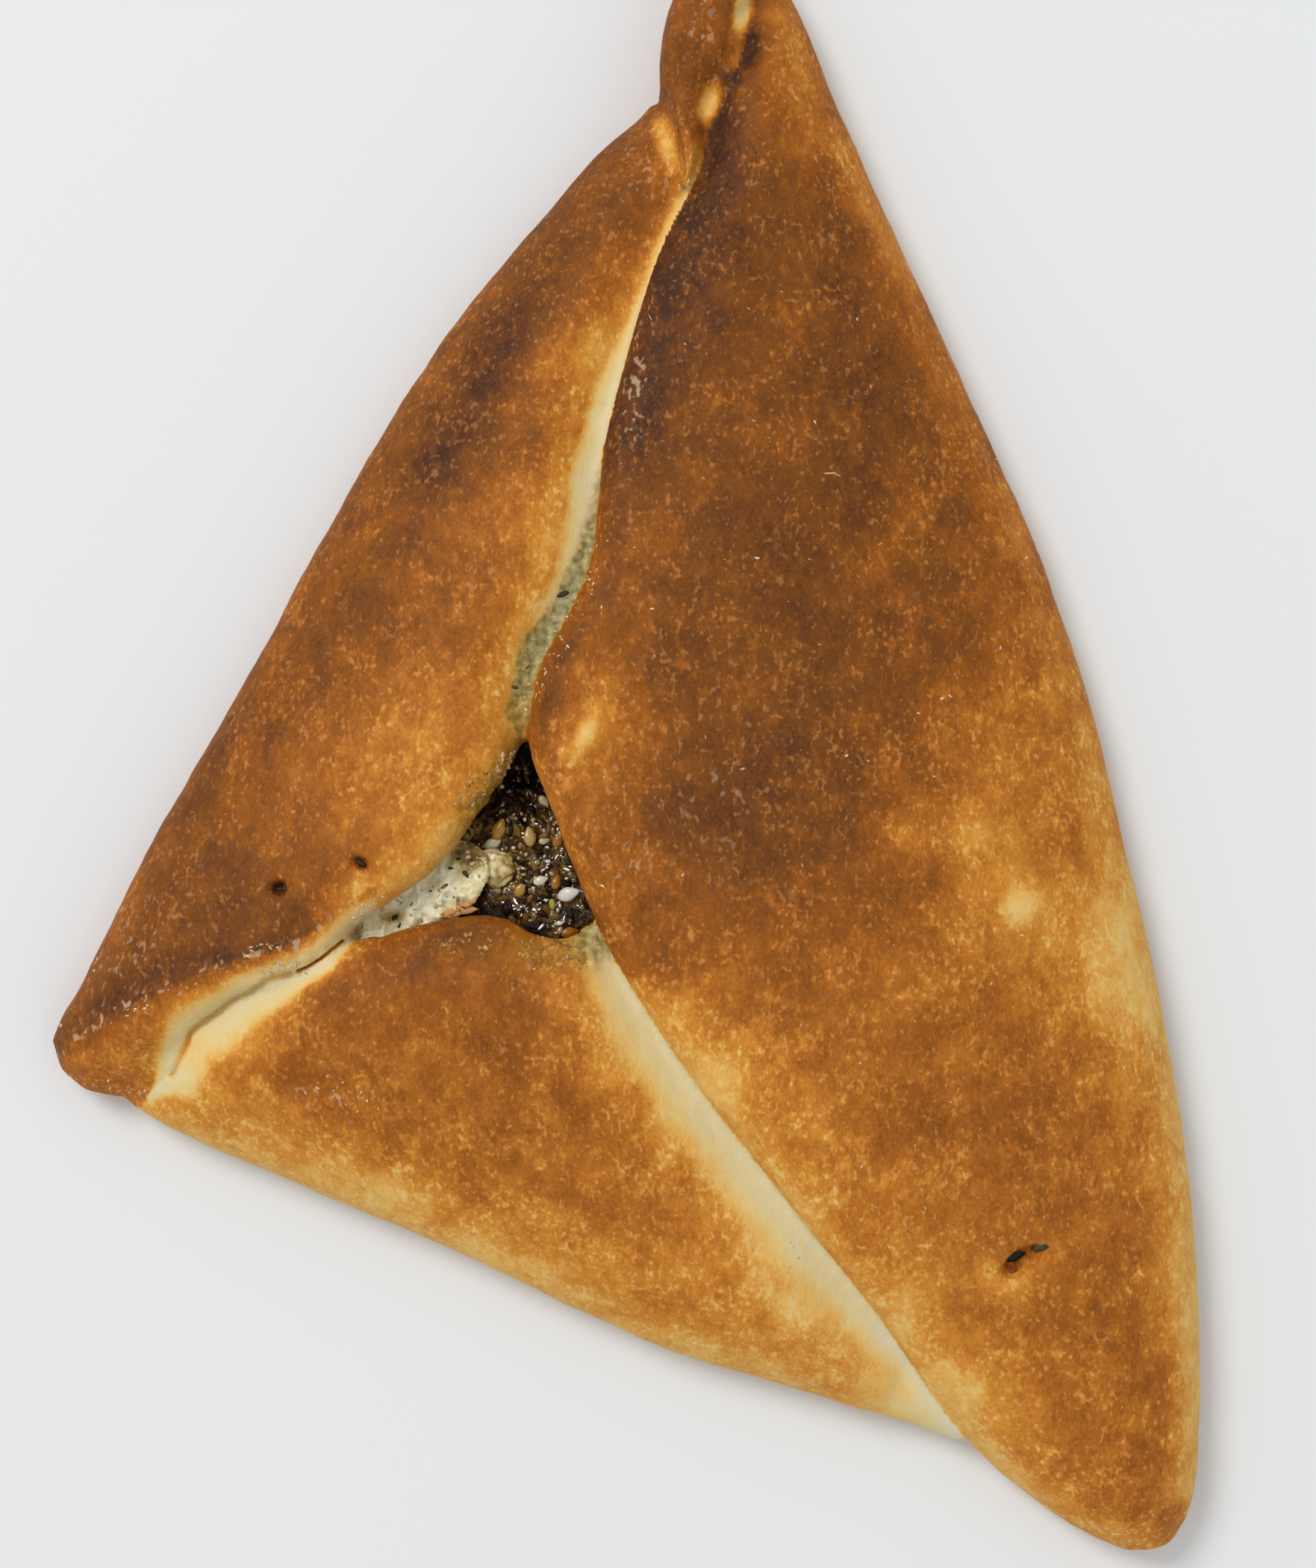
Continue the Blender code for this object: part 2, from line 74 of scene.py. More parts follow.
# %% [markdown]
# ## Light and ground
# Soft daylight fills the room and a little more of it falls in from the upper left, which leaves
# a faint soft shadow along the right edge. A pale sky colour gives the fill, and one large area
# light the direction: the larger the light, the softer its shadow. The Standard view transform
# keeps the browns as they are set, where a filmic one would wash them out.

# %% Floor, sky and lamp
FLOOR_COLOUR = (0.775, 0.775, 0.76, 1)
SKY_COLOUR = (0.93, 0.96, 1.0, 1)
SKY_STRENGTH = 0.72
LAMP_PLACE = Vector((-1.1, 1.2, 2.1))
LAMP_SIZE = 1.1
LAMP_POWER = 34.0


def add_object(name, data):
    made = bpy.data.objects.new(name, data)
    bpy.context.scene.collection.objects.link(made)
    return made


def new_material(name):
    """A material with nodes, and its Principled shader."""
    material = bpy.data.materials.new(name)
    material.use_nodes = True
    return material, material.node_tree, material.node_tree.nodes["Principled BSDF"]


bpy.context.scene.view_settings.view_transform = "Standard"
world = bpy.data.worlds.new("sky")
world.use_nodes = True
world.node_tree.nodes["Background"].inputs["Color"].default_value = SKY_COLOUR
world.node_tree.nodes["Background"].inputs["Strength"].default_value = SKY_STRENGTH
bpy.context.scene.world = world

lamp_data = bpy.data.lights.new("window", "AREA")
lamp_data.shape = "DISK"
lamp_data.size = LAMP_SIZE
lamp_data.energy = LAMP_POWER
lamp = add_object("window", lamp_data)
lamp.location = LAMP_PLACE
lamp.rotation_euler = (-LAMP_PLACE).to_track_quat("-Z", "Y").to_euler()

sheet = bmesh.new()
bmesh.ops.create_grid(sheet, x_segments=4, y_segments=4, size=1.2)
floor_mesh = bpy.data.meshes.new("floor")
sheet.to_mesh(floor_mesh)
sheet.free()
floor = add_object("floor", floor_mesh)
floor_material, _, floor_shader = new_material("floor")
floor_shader.inputs["Base Color"].default_value = FLOOR_COLOUR
floor_shader.inputs["Roughness"].default_value = 0.9
floor_shader.inputs["Specular IOR Level"].default_value = 0.1
floor_mesh.materials.append(floor_material)
print("floor, sky and one lamp")

# %% [markdown]
# ## Where the folds lie
# Browning follows the folds: a fold's free edge, the seam beneath it and the foot of the pastry
# each bake differently. So the script needs to know how far any point is from each of them. The
# outline and the free edges are a few points each, measured on the photo from above, turned into
# millimetres, thinned out and rounded. A smooth line is passed through them. They are the same
# lines that the solids were made from.

# %% Edges of the flaps
RIGHT_SIDE = [(14, 110), (18.8, 105.5), (23.6, 97.4), (30.0, 81.0), (41.0, 57.7), (51.9, 33.6),
              (60.8, 9.6), (67.1, -15), (72.5, -39), (76.2, -63), (77.3, -86), (76.1, -103), (71, -110.5)]
BOTTOM_SIDE = [(71, -110.5), (61, -106.5), (50.5, -99), (42.5, -93.5), (28, -89.1), (6.1, -82.1),
               (-30, -66), (-54.5, -55.5), (-64.5, -50.5), (-69.5, -46.5)]
LEFT_SIDE = [(-64.5, -47.8), (-72, -47.4), (-76.8, -43.9), (-77.8, -39.6), (-74, -33),
             (-64.8, -14.4), (-51.2, 9.6), (-38, 33.5), (-22.6, 57.6), (-5.0, 78.2), (4.1, 86.2),
             (4.3, 91.8), (6, 99.5), (9.5, 106.5), (14, 110)]
RIGHT_EDGE = [(14, 110), (16, 97), (14.4, 89), (11.3, 82.5), (9.2, 75), (5, 66.4), (2, 58),
              (-3, 39), (-5, 23), (-11.5, 9.5), (-12.8, 2.5), (-13, -1), (-10, -9), (-3.6, -25),
              (7.5, -43), (20.5, -60), (33, -76), (42.5, -90), (50.5, -99), (61, -106.5), (71, -110.5)]
LEFT_EDGE = [(-64.5, -47.8), (-61.2, -44), (-58.2, -38.6), (-50, -33.3), (-41, -29.5), (-35.5, -23.8),
             (-31.7, -21.5), (-25.2, -17.2), (-20.2, -10.4), (-16, -4.2), (-12.8, 2.5)]
BOTTOM_EDGE = [(-38, -27.5), (-32.7, -26), (-28.6, -24.3), (-23, -22.7), (-18.5, -22.6),
               (-14.5, -23.7), (-10.2, -26.1), (-3.6, -25)]


def smooth_line(points, steps=6):
    """A smooth line through a few points (Catmull-Rom)."""
    p = np.array(points, float)
    p = np.vstack([2 * p[0] - p[1], p, 2 * p[-1] - p[-2]])
    t = np.linspace(0, 1, steps, endpoint=False)[:, None]
    spans = []
    for a, b, c, d in zip(p, p[1:], p[2:], p[3:]):
        spans.append(0.5 * (2 * b + (c - a) * t + (2 * a - 5 * b + 4 * c - d) * t ** 2
                            + (3 * b - a - 3 * c + d) * t ** 3))
    return np.vstack(spans + [p[-2:-1]])


def distance(points, line):
    """How far each point is from a line, in the same units."""
    best = np.full(len(points), np.inf)
    for a, b in zip(line, line[1:]):
        run = b - a
        t = np.clip(((points - a) @ run) / max(run @ run, 1e-12), 0, 1)
        away = points - a - t[:, None] * run
        best = np.minimum(best, np.hypot(away[:, 0], away[:, 1]))
    return best


def within(points, corners):
    """True for the points inside a loop of corners."""
    x, y = points.T
    odd = np.zeros(len(points), bool)
    for (x0, y0), (x1, y1) in zip(corners, np.roll(corners, -1, axis=0)):
        if y0 != y1:
            spans = (y0 > y) != (y1 > y)
            odd ^= spans & (x < (x1 - x0) * (y - y0) / (y1 - y0) + x0)
    return odd


def ease(x):
    x = np.clip(x, 0, 1)
    return x * x * (3 - 2 * x)


right_edge, left_edge, bottom_edge = [
    smooth_line(points) for points in (RIGHT_EDGE, LEFT_EDGE, BOTTOM_EDGE)]
right_side, bottom_side, left_side = [
    smooth_line(points) for points in (RIGHT_SIDE, BOTTOM_SIDE, LEFT_SIDE)]
sides = (right_side, bottom_side, left_side)
print("right flap's edge has", len(right_edge), "points")

# %% Which flap a point belongs to
RIGHT, LEFT, BOTTOM = 0, 1, 2
FAR = 200.0


def flap_of(points):
    """The flap that a point, seen from above, lies on."""
    flap = np.full(len(points), BOTTOM)
    upper = right_edge[right_edge[:, 1] > LEFT_EDGE[-1][1]]
    corner = [(-FAR, FAR), (-FAR, -49.5), (-66.5, -49.5)]
    flap[within(points, np.vstack([left_edge, upper[::-1], [(14, FAR)], corner]))] = LEFT
    flap[within(points, np.vstack([right_edge, [(75, -FAR), (FAR, -FAR), (FAR, FAR), (14, FAR)]]))] = RIGHT
    return flap


# %% [markdown]
# ## Fine copies of the solids
# The solids have about ten thousand triangles, enough for the folds but not for crumb, blisters
# and wrinkles. A voxel remesh lays an even fine grid over a copy, which the script can then push
# in and out. Half of the grid would lie inside the pocket and underneath, where nobody looks, so
# Decimate thins only those places, through a vertex group.

# %% Fine copy
def evaluated(obj):
    """The object's mesh with its modifiers applied."""
    depsgraph = bpy.context.evaluated_depsgraph_get()
    return bpy.data.meshes.new_from_object(obj.evaluated_get(depsgraph))


def corners_of(mesh, kind="co"):
    """One row of three numbers for each point of a mesh."""
    values = np.zeros(len(mesh.vertices) * 3)
    mesh.vertices.foreach_get(kind, values)
    return values.reshape(-1, 3)


def normals_of(mesh):
    return corners_of(mesh, "normal")


def set_corners(mesh, co):
    mesh.vertices.foreach_set("co", co.ravel())
    mesh.update()


def fine_copy(name, solid, voxel, smoothing, hidden, keep):
    """A finely meshed copy of a solid. hidden(points) marks what can't be seen, and keep is the
    share of faces that stay after thinning there."""
    copy = add_object(name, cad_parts[solid].data.copy())
    copy.data.materials.clear()
    grid = copy.modifiers.new("grid", "REMESH")
    grid.mode = "VOXEL"
    grid.voxel_size = voxel
    soften = copy.modifiers.new("soften", "SMOOTH")
    soften.factor = 0.5
    soften.iterations = smoothing
    copy.data = evaluated(copy)
    copy.modifiers.clear()

    group = copy.vertex_groups.new(name="hidden")
    marked = np.nonzero(hidden(corners_of(copy.data)))[0]
    group.add(marked.tolist(), 1.0, "REPLACE")
    thin = copy.modifiers.new("thin", "DECIMATE")
    thin.ratio = keep
    thin.vertex_group = "hidden"
    copy.data = evaluated(copy)
    copy.modifiers.clear()
    copy.vertex_groups.clear()
    copy.data.name = name
    copy.data.shade_smooth()
    print(name, "has", len(copy.data.vertices), "points and", len(copy.data.polygons), "faces")
    return copy


# %% Fine copy of the dough
OPENING = np.array([-15.0, -15.0])     # the middle of the opening, seen from above


def crust_hidden(co):
    """The underside, and the pocket's inside away from the opening."""
    flat = co[:, :2] / MM
    level = co[:, 2] / MM
    edge = np.min([distance(flat, side) for side in sides], axis=0)
    opening = np.linalg.norm(flat - OPENING, axis=1)
    # The pocket's inside: well in from the outline, below its roof, and away from the opening
    inside = (edge > 14) & (level < 9 + 0.12 * edge) & (opening > 26)
    return (level < 0.35) | inside | ((edge > 10) & (level < 8))


crust = fine_copy("crust", "dough", voxel=0.62 * MM, smoothing=4, hidden=crust_hidden, keep=0.62)

# %% [markdown]
# ## Relief of the crust
# The solids' surface is smooth, but a baked crust never is. Broad swells, pocks and fine
# wrinkles are three sizes of noise. What has a place of its own is pushed in or out there: bubbles,
# burst holes, the crumbled rims of the opening, and the crease where the corner folds over.
# Every push runs along the normal, so the sides get it as well as the top.

# %% Noise for points
def lumps(points, size, offset=0.0):
    """Smooth noise between about -1 and 1, with lumps of the given size."""
    shift = Vector((offset, -offset, 0.5 * offset))
    return np.array([noise.noise(Vector(p) / size + shift) for p in points])


def spot_shape(flat, place, radii, turn=0.0, power=2):
    """1 in the middle of an oval spot, falling to 0 outside it."""
    x, y = (flat - np.array(place)).T
    c, s = math.cos(math.radians(turn)), math.sin(math.radians(turn))
    away = np.hypot((x * c + y * s) / radii[0], (y * c - x * s) / radii[1])
    return np.exp(-away ** power)


def together(flat, spots):
    """The sum of several spots, each given as a place, two radii, a turn and a strength."""
    return sum(spot_shape(flat, place, radii, turn) * much for place, radii, turn, much in spots)


def strongest(flat, spots, power=2):
    """The largest of several spots at each point. A higher power makes their edges harder."""
    return np.max([spot_shape(flat, place, radii, turn, power) * much
                   for place, radii, turn, much in spots], axis=0)


# %% Places with a relief of their own
# Each is a place, two radii, a turn, and how far up (or down) in millimetres
SWELLS = [
    ((-5.4, 0.7), (3.8, 2.0), 60, 0.7), ((51.6, -21.8), (4.0, 3.6), 0, 0.6), ((63, -31), (5, 7), 20, 0.4),
    ((45.5, -12), (2.6, 2.6), 0, 0.35), ((-41, -33), (6, 4), 10, 0.5), ((13.0, 87.8), (1.5, 1.5), 0, 1.0),
    ((16.0, 92.0), (1.5, 2.6), -10, -0.9), ((10.9, 84.9), (1.4, 2.6), -20, -0.5),
    ((-45.7, -19.4), (1.0, 0.8), 0, -1.1), ((-34.9, -16.0), (1.2, 0.6), -35, -1.0),
    ((50.9, -68.4), (2.6, 1.2), 40, -1.2), ((-53, -20), (12, 7), 55, 0.5), ((-62, -37), (7, 4), 25, 0.6),
]
# Folds and cracks: a line, how wide and how deep
CREASES = [
    ([(4.2, 86), (5.2, 82.5), (6.2, 79), (6.9, 75.5), (7.3, 72.5)], 0.7, -0.9),
    ([(-60.9, -44.6), (-58.7, -40.5), (-57.8, -38.3), (-54.5, -36.0), (-51.9, -34.1), (-49.8, -33.1),
      (-47.3, -31.4), (-44.5, -30.6)], 0.4, -0.9),
    ([(-43.4, -30.2), (-42.3, -29.7), (-40.3, -28.5), (-37.6, -26.3)], 0.22, -1.0),
    ([(-62, -33.4), (-53.2, -29.6), (-45.8, -27.8)], 1.2, 0.35),
]
corner_crease, corner_crack = [smooth_line(line) for line, width, depth in CREASES[1:3]]
# Rims with a crumbly surface
CRUMBLED = [
    ((-17.5, -4.5), (4.5, 2.6), 55, 0.55), ((-20.5, -9), (4, 2), 60, 0.3), ((-6, -27), (6, 3), 10, 0.7),
    ((-22, -25.5), (3.4, 2.2), 0, 0.35), ((16, 92.5), (2.2, 4), -10, 0.7), ((4, 70), (1.5, 6), -20, 0.3),
    ((-45, -29.5), (8, 1.6), 25, 0.4), ((-2, 44), (1.6, 8), 0, 0.35),
]


def crust_relief(co):
    """How far out each point of the crust goes, in mm."""
    flat, points = co[:, :2] / MM, co / MM
    push = 0.42 * lumps(points, 19.0, 5.0) + 0.2 * lumps(points, 6.5, 2.2) + 0.07 * lumps(points, 2.4, 8.4)
    push += together(flat, SWELLS)
    for line, width, depth in CREASES:
        push += depth * np.exp(-(distance(flat, smooth_line(line)) / width) ** 2)
    return push + together(flat, CRUMBLED) * (lumps(points, 1.5, 3.3) + 0.5 * lumps(points, 0.9, 6.6))


def refine(mesh, wanted):
    """Splits the edges of a mesh in two where wanted(points) is true at both ends."""
    fine = bmesh.new()
    fine.from_mesh(mesh)
    marked = wanted(np.array([v.co for v in fine.verts]))
    edges = [edge for edge in fine.edges if marked[edge.verts[0].index] and marked[edge.verts[1].index]]
    bmesh.ops.subdivide_edges(fine, edges=edges, cuts=1, use_grid_fill=True)
    fine.to_mesh(mesh)
    fine.free()
    print("split", len(edges), "edges")


UPPER_FACE = 5.0       # height in mm above which a point belongs to the folded side


def from_crease(flat):
    """How far each point is from the corner's crease or crack, whichever is nearer."""
    return np.minimum(distance(flat, corner_crease), distance(flat, corner_crack))


def near_details(co):
    """Along the crease and crack, along the upper seam and on the crumbled rims."""
    flat = co[:, :2] / MM
    spots = np.max([spot_shape(flat, *rest[:3]) for rest in CRUMBLED], axis=0)
    seam = (distance(flat, right_edge) < 0.9) & (np.abs(flat[:, 1] - 60) < 18)
    return ((from_crease(flat) < 1.5) | (spots > 0.4) | seam) & (co[:, 2] / MM > UPPER_FACE)


def near_crease(co):
    return (from_crease(co[:, :2] / MM) < 0.8) & (co[:, 2] / MM > UPPER_FACE)


for wanted in (near_details, near_crease, near_crease):
    refine(crust.data, wanted)
co = corners_of(crust.data)
push = crust_relief(co) * ease((co[:, 2] / MM - 0.8) / 3)
set_corners(crust.data, co + push[:, None] * normals_of(crust.data) * MM)
print("crust moved by %.1f to %.1f mm" % (push.min(), push.max()))

# %% [markdown]
# ## Browning, as a number at each point
# Real browning is a single quantity: how hot and dry each spot of dough became. So the script
# keeps one value per point, from 0 for pale dough to 1 for nearly burnt, and one colour ramp turns
# it into colour. The value starts from a level for each flap, falls where a seam or the foot kept
# the dough moist, and gets the blotches that uneven oven heat and air bubbles leave.
# It also carries painted shade: in the corner's crease and crack, and partly in a band along the upper seam.

# %% Blotches
# Each is a place, two radii and a turn in degrees, and how much darker (or paler) it is
BLOTCHES = [
    ((9.8, 80), (2.2, 5), 10, 0.16), ((19, 84), (7, 9), 0, -0.22), ((19, 94), (5, 7), 0, -0.1),
    ((29, 54), (4, 6), 0, 0.06), ((14, 55), (5, 6), 0, 0.07), ((37, 45), (5, 7), 0, 0.06),
    ((22.9, 26), (10, 9), 0, 0.08), ((15.5, -6.7), (13, 11), 0, 0.21), ((38, 30), (8, 8), 0, -0.13),
    ((28, 22), (5, 5), 0, -0.06), ((28, 8), (4, 6), 0, 0.08), ((1, 24), (6, 9), 0, 0.05),
    ((5.8, 10), (7, 6), 0, 0.04), ((-3, -12), (4, 7), 15, 0.06), ((24, -5), (9, 6), 0, -0.04),
    ((3.8, -27.2), (7, 6), 20, 0.07), ((54, -2), (9, 12), 10, -0.17), ((44, 3), (5, 8), 0, -0.1),
    ((46, -14), (7, 8), 15, -0.26), ((62, -24), (7, 8), 0, -0.1), ((47, -34), (7, 6), 0, -0.09),
    ((15, -43), (5, 5), 0, -0.1), ((24, -45), (5, 5), 0, -0.1), ((10, -38), (5, 6), 40, -0.08),
    ((40, -76), (5, 9), 15, -0.13), ((45, -86), (6, 5), 0, -0.1), ((32, -66), (5, 5), 0, 0.08),
    ((34, -60), (9, 9), 0, 0.03), ((51, 14), (6, 10), 15, -0.1), ((69, -52), (3, 8), 0, 0.08),
    ((72, -100), (5, 12), 0, 0.12), ((-22, 44), (5, 16), -30, 0.22), ((-35.2, 20), (7, 7), 0, 0.12),
    ((-8, 66), (8, 9), -40, 0.12), ((-1, 66), (4, 5), 0, -0.06), ((-53, -20), (14, 8), 55, 0.14),
    ((-55, -2), (4, 14), -30, 0.16), ((-42, 11), (5, 6), 0, 0.1), ((-36, -5), (8, 6), 0, -0.12),
    ((-26.4, 2), (9, 9), -25, -0.18), ((-30, -12), (9, 5), 40, -0.12), ((-22, 14), (4, 5), 0, 0.08),
    ((-19, 29), (7, 6), -20, -0.12), ((-11, 25), (3, 6), -10, -0.12), ((-14, 33), (4, 5), 0, -0.04),
    ((-6, 53), (5, 8), -20, -0.14), ((-15, 55), (4, 5), 0, 0.13), ((-9, 48), (4, 5), 0, 0.05),
    ((-25, 47), (6, 5), 0, -0.1), ((-27.4, -29), (10, 4), 0, 0.1), ((-18.6, -37), (7, 6), 0, 0.1),
    ((-42, -42), (8, 5), -20, 0.08), ((-40, -32), (4, 4), 0, 0.1), ((-40, -49), (4, 4), 0, 0.06),
    ((-20, -55), (5, 5), 0, 0.07), ((-35, -57), (9, 5), -20, -0.16), ((-26, -63), (9, 4), -20, -0.1),
    ((-2, -57), (5, 5), 0, -0.12), ((5, -67), (6, 6), 0, -0.2), ((16, -77), (7, 5), -20, -0.1),
    ((-11, -54), (3, 3), 0, -0.06), ((12, -71), (3, 3), 0, 0.06), ((-9.5, 4), (2.4, 6), 0, 0.12),
    ((8, -4), (9, 6), 0, -0.05), ((25, -25), (4, 3), 0, -0.08), ((43, -21), (7, 4), 0, 0.06),
    ((32, 22), (4, 4), 0, -0.06), ((69, -34), (3, 7), 0, -0.08), ((7, -65), (6, 7), 0, 0.09),
    ((2, -48), (4, 6), 0, 0.05), ((-23, -35.5), (4, 3), 0, -0.1), ((-25, 36), (5, 4), 0, 0.1),
    ((-21, 42), (2, 5), -20, 0.07), ((-30, -6), (2.5, 4), 0, 0.09), ((-60, -18), (4, 11), -30, 0.06),
    ((-33, 22), (5, 3), 0, -0.06), ((-21.8, -25), (7, 2), 0, 0.14), ((-45, -41), (8, 4), 0, -0.05),
    ((66, -46), (6, 5), 0, -0.06), ((69, -103), (4, 3), 0, 0.12), ((75, -56), (3, 6), 0, 0.06),
    ((29, 77), (3, 9), 25, -0.17), ((35, 66), (3, 6), 25, -0.12), ((-2, 69), (4, 2.5), 20, 0.1),
    ((-8, 50), (5, 4), 0, -0.04), ((9, 91), (3, 5), 0, 0.12), ((-35, -35), (4, 5), 0, 0.04),
    ((44, 23), (5, 6), 0, 0.03), ((56, -5), (3, 3), 0, 0.06), ((-29, -54), (7, 3), -20, 0.05),
    ((48, 43), (6, 14), -25, 0.04), ((62, -64), (3, 3), 0, 0.05), ((30, -60), (4, 4), 0, -0.06),
    ((-65, -42.5), (5, 3), 0, -0.12), ((54, 6), (5, 6), 0, -0.08), ((20.5, 97), (3, 4), 0, -0.14),
    ((5, 52), (4, 5), 0, -0.09), ((-3, 64), (3, 2.5), 0, -0.09), ((-24, -53), (5, 2.5), -10, -0.1),
    ((8, 68), (5, 4), 0, 0.07), ((33, 60), (4, 4), 0, 0.07), ((-46, -13), (4, 8), 0, -0.07),
    ((-55, -26), (4, 3), 30, -0.08), ((-14, -62), (7, 3), -20, -0.06), ((-28, -56), (8, 2), -20, 0.05),
    ((2, -2), (4, 4), 0, -0.06), ((16, -2), (3, 2.5), 0, -0.06), ((34, -6), (4, 4), 0, -0.06),
    ((56, -21), (5, 6), 0, -0.06), ((25, -75), (6, 4), -30, -0.07), ((55, -85), (12, 6), 0, -0.05),
    ((52, 20), (3, 7), 15, 0.08), ((-28, 28), (9, 5), 0, 0.05), ((-27, 14), (12, 4), 0, 0.05),
    ((-33, -16), (3, 4), 0, 0.05), ((27, 76), (2, 6), 20, 0.12), ((-15, 12), (2, 5), -20, -0.1),
    ((16, -37), (6, 4), 0, 0.05), ((-10, -45), (3, 8), 0, 0.05), ((55, -36), (7, 6), 0, -0.05),
    ((52, -60), (10, 7), 0, -0.05), ((71, -78), (3, 8), 0, -0.08), ((8, 78), (3, 6), 0, -0.16),
    ((25, 88), (2.5, 9), 25, 0.12), ((66, -30), (3, 10), 15, -0.06), ((-3, -20), (2.5, 4), 20, -0.1),
    ((72, -90), (2.5, 5), 0, 0.1), ((36, -36), (8, 8), 0, -0.04), ((12, 86), (2, 3), -15, 0.14),
    ((-33, -53), (4, 2), -20, -0.05), ((-27, -54), (3, 2), -20, -0.04), ((37, -72), (5, 3), 40, -0.05),
]
# Bubbles stayed pale: place, radii, turn and how strongly
BUBBLES = [
    ((-5.4, 0.7), (4.6, 1.7), 64, 0.84), ((-4.2, 1.5), (8, 5.5), 60, 0.35),
    ((51.6, -21.8), (3.8, 3.4), 0, 0.82), ((51.6, -21.8), (8.0, 7.0), 0, 0.4),
    ((63.0, -31), (5.0, 8.0), 20, 0.55), ((45.5, -12), (2.6, 2.6), 0, 0.3),
    ((50.6, -70.4), (4.5, 3.0), 20, 0.5), ((35.8, -12.5), (3, 2.4), 0, 0.3),
]
# Places that stayed pale without rising: beside the twist and along the folded corner
PALE = [
    ((15.2, 97), (1.3, 3.4), -12, 0.9), ((10.7, 84.7), (1.6, 3.2), -20, 0.8),
    ((4.9, 79.8), (1.5, 4.2), 12, 0.62), ((9.0, 76.8), (0.9, 3.8), -8, 0.45),
]
# Scorched places: the rough hollow and the lump at the top of the seam, and three burst bubbles; and a narrow
# band along the seam below them, partly scorch and partly painted shade under the left flap's lip
SCORCH_AND_SEAM_SHADE = [
    ((16.3, 92.4), (1.7, 3.0), -10, 0.34), ((13.4, 87.8), (1.5, 1.5), 0, 0.36),
    ((11.2, 78.5), (1.3, 4.5), -14, 0.16), ((-45.7, -19.4), (0.9, 0.7), 0, 0.4),
    ((-34.9, -16.0), (1.1, 0.5), -35, 0.4), ((50.9, -68.4), (2.0, 0.9), 40, 0.4),
]


# %% Browning of the right flap
def band(away, *stops):
    """A value that follows (distance in mm, value) stops away from a line."""
    return np.interp(away, [place for place, _ in stops], [value for _, value in stops])


def brown_right(flat, wobble):
    """The big covering flap: darkest along its upper seam, golden along its lower one."""
    y = flat[:, 1]
    away = distance(flat, right_edge) * (1 + 0.25 * wobble)
    level = 0.77 - 0.18 * ease((25 - y) / 80)
    upper = ease((y - 26) / 14)
    middle = (1 - upper) * ease((y + 24) / 10)
    lower = ease((-22 - y) / 14)
    level += upper * band(away, (0, 0.18), (4, 0.18), (9, 0.03), (14, 0.0))
    level += middle * band(away, (0, -0.18), (0.8, -0.1), (2.6, 0.0), (4, -0.1), (9, -0.08), (14, 0.0))
    level += lower * band(away, (0, -0.3), (1.5, -0.27), (5, -0.12), (14, 0.0))
    outline = distance(flat, right_side) / (1 + 0.4 * wobble)
    rim = 0.24 + 0.1 * ease((15 - y) / 40)
    palest = 0.14 + 0.24 * ease((-96 - y) / 8)
    return np.maximum(level - rim * band(outline, (0, 1.0), (3, 0.8), (7, 0.25), (11, 0.0)), palest)


# %% Browning of the left flap
# The line on the folded corner above which its top is dark and below which its side stayed pale
RIDGE = [(-78, -43), (-69.5, -36.6), (-62.9, -33.4), (-57, -30.9), (-53.2, -29.2), (-49, -28.0),
         (-45.8, -27.4), (-42, -25.5), (-39.3, -23.9), (-36.5, -21.7), (-30, -16.5)]
ridge = smooth_line(RIDGE)
upper_seam = right_edge[right_edge[:, 1] > LEFT_EDGE[-1][1]]
corner_seam = left_edge[left_edge[:, 0] < -33]
left_rim = left_edge[left_edge[:, 0] > -36]


def below_ridge(flat):
    """1 on the side of the folded corner, 0 on its top."""
    side = within(flat, np.vstack([ridge, [(-30, -FAR), (-78, -FAR)]]))
    return side * (flat[:, 0] < -33)


def brown_left(flat, wobble):
    """The left flap: a pale strip beside the upper seam, a dark top, and the corner's paler side."""
    y = flat[:, 1]
    away = distance(flat, upper_seam)
    # Width of the pale strip beside the upper seam, at several places along it
    strip = np.interp(y, [-2, 8, 23, 32, 36, 41, 46, 50, 60, 66, 73, 77],
                      [1.5, 2.8, 3.4, 3.6, 3.3, 2.6, 2.5, 1.6, 0.2, 0.2, 0.4, -1.8]) * (1 + 0.2 * wobble)
    glow = np.interp(y, [0, 15, 25, 38, 50, 64], [2.4, 5.0, 4.0, 2.6, 6.0, 1.5])
    level = 0.65 + 0.06 * ease((y - 30) / 30)
    past = away - strip
    level -= (level - 0.4) * band(past / glow, (0, 1.0), (0.5, 0.75), (1.3, 0.25), (2.2, 0))
    level = np.where(past < 0.9, band(past, (-1.6, 0.05), (-0.2, 0.12), (0.5, 0.3), (0.9, 0.4)), level)
    level += 0.34 * ease((14 - y) / 14) * (1 - ease(past / 0.9))
    rim = distance(flat, left_rim)
    level -= (0.16 + 0.2 * ease((-7 - y) / 6)) * band(rim, (0, 1.0), (2.5, 0.8), (7.0, 0.0))
    # How broad the pale band beside the corner's crease is, at several places along it
    broad = np.interp(flat[:, 0], [-64.5, -62.5, -60, -56, -50, -42, -36],
                      [0.1, 0.7, 1.15, 0.95, 0.9, 1.0, 0.6])
    broad *= 0.35 + 0.65 * ease((y + 46) / 3)
    corner = distance(flat, corner_seam) / broad * (1 + 0.15 * wobble)
    side = band(corner, (0, 0.06), (1.6, 0.12), (3.2, 0.32), (4.6, 0.44), (7, 0.48), (12, 0.52))
    side += 0.17 * np.exp(-(distance(flat, ridge) / 1.7) ** 2) * ease((side - 0.2) / 0.2)
    dark_top = level + 0.16 * band(distance(flat, ridge), (0, 1.0), (3, 0.7), (9, 0.0))
    level = np.where(flat[:, 0] < -36, dark_top, level)
    return np.where(below_ridge(flat) > 0, side, level)


# %% Browning of the bottom flap
lower_seam = right_edge[right_edge[:, 1] < BOTTOM_EDGE[-1][1] + 2]


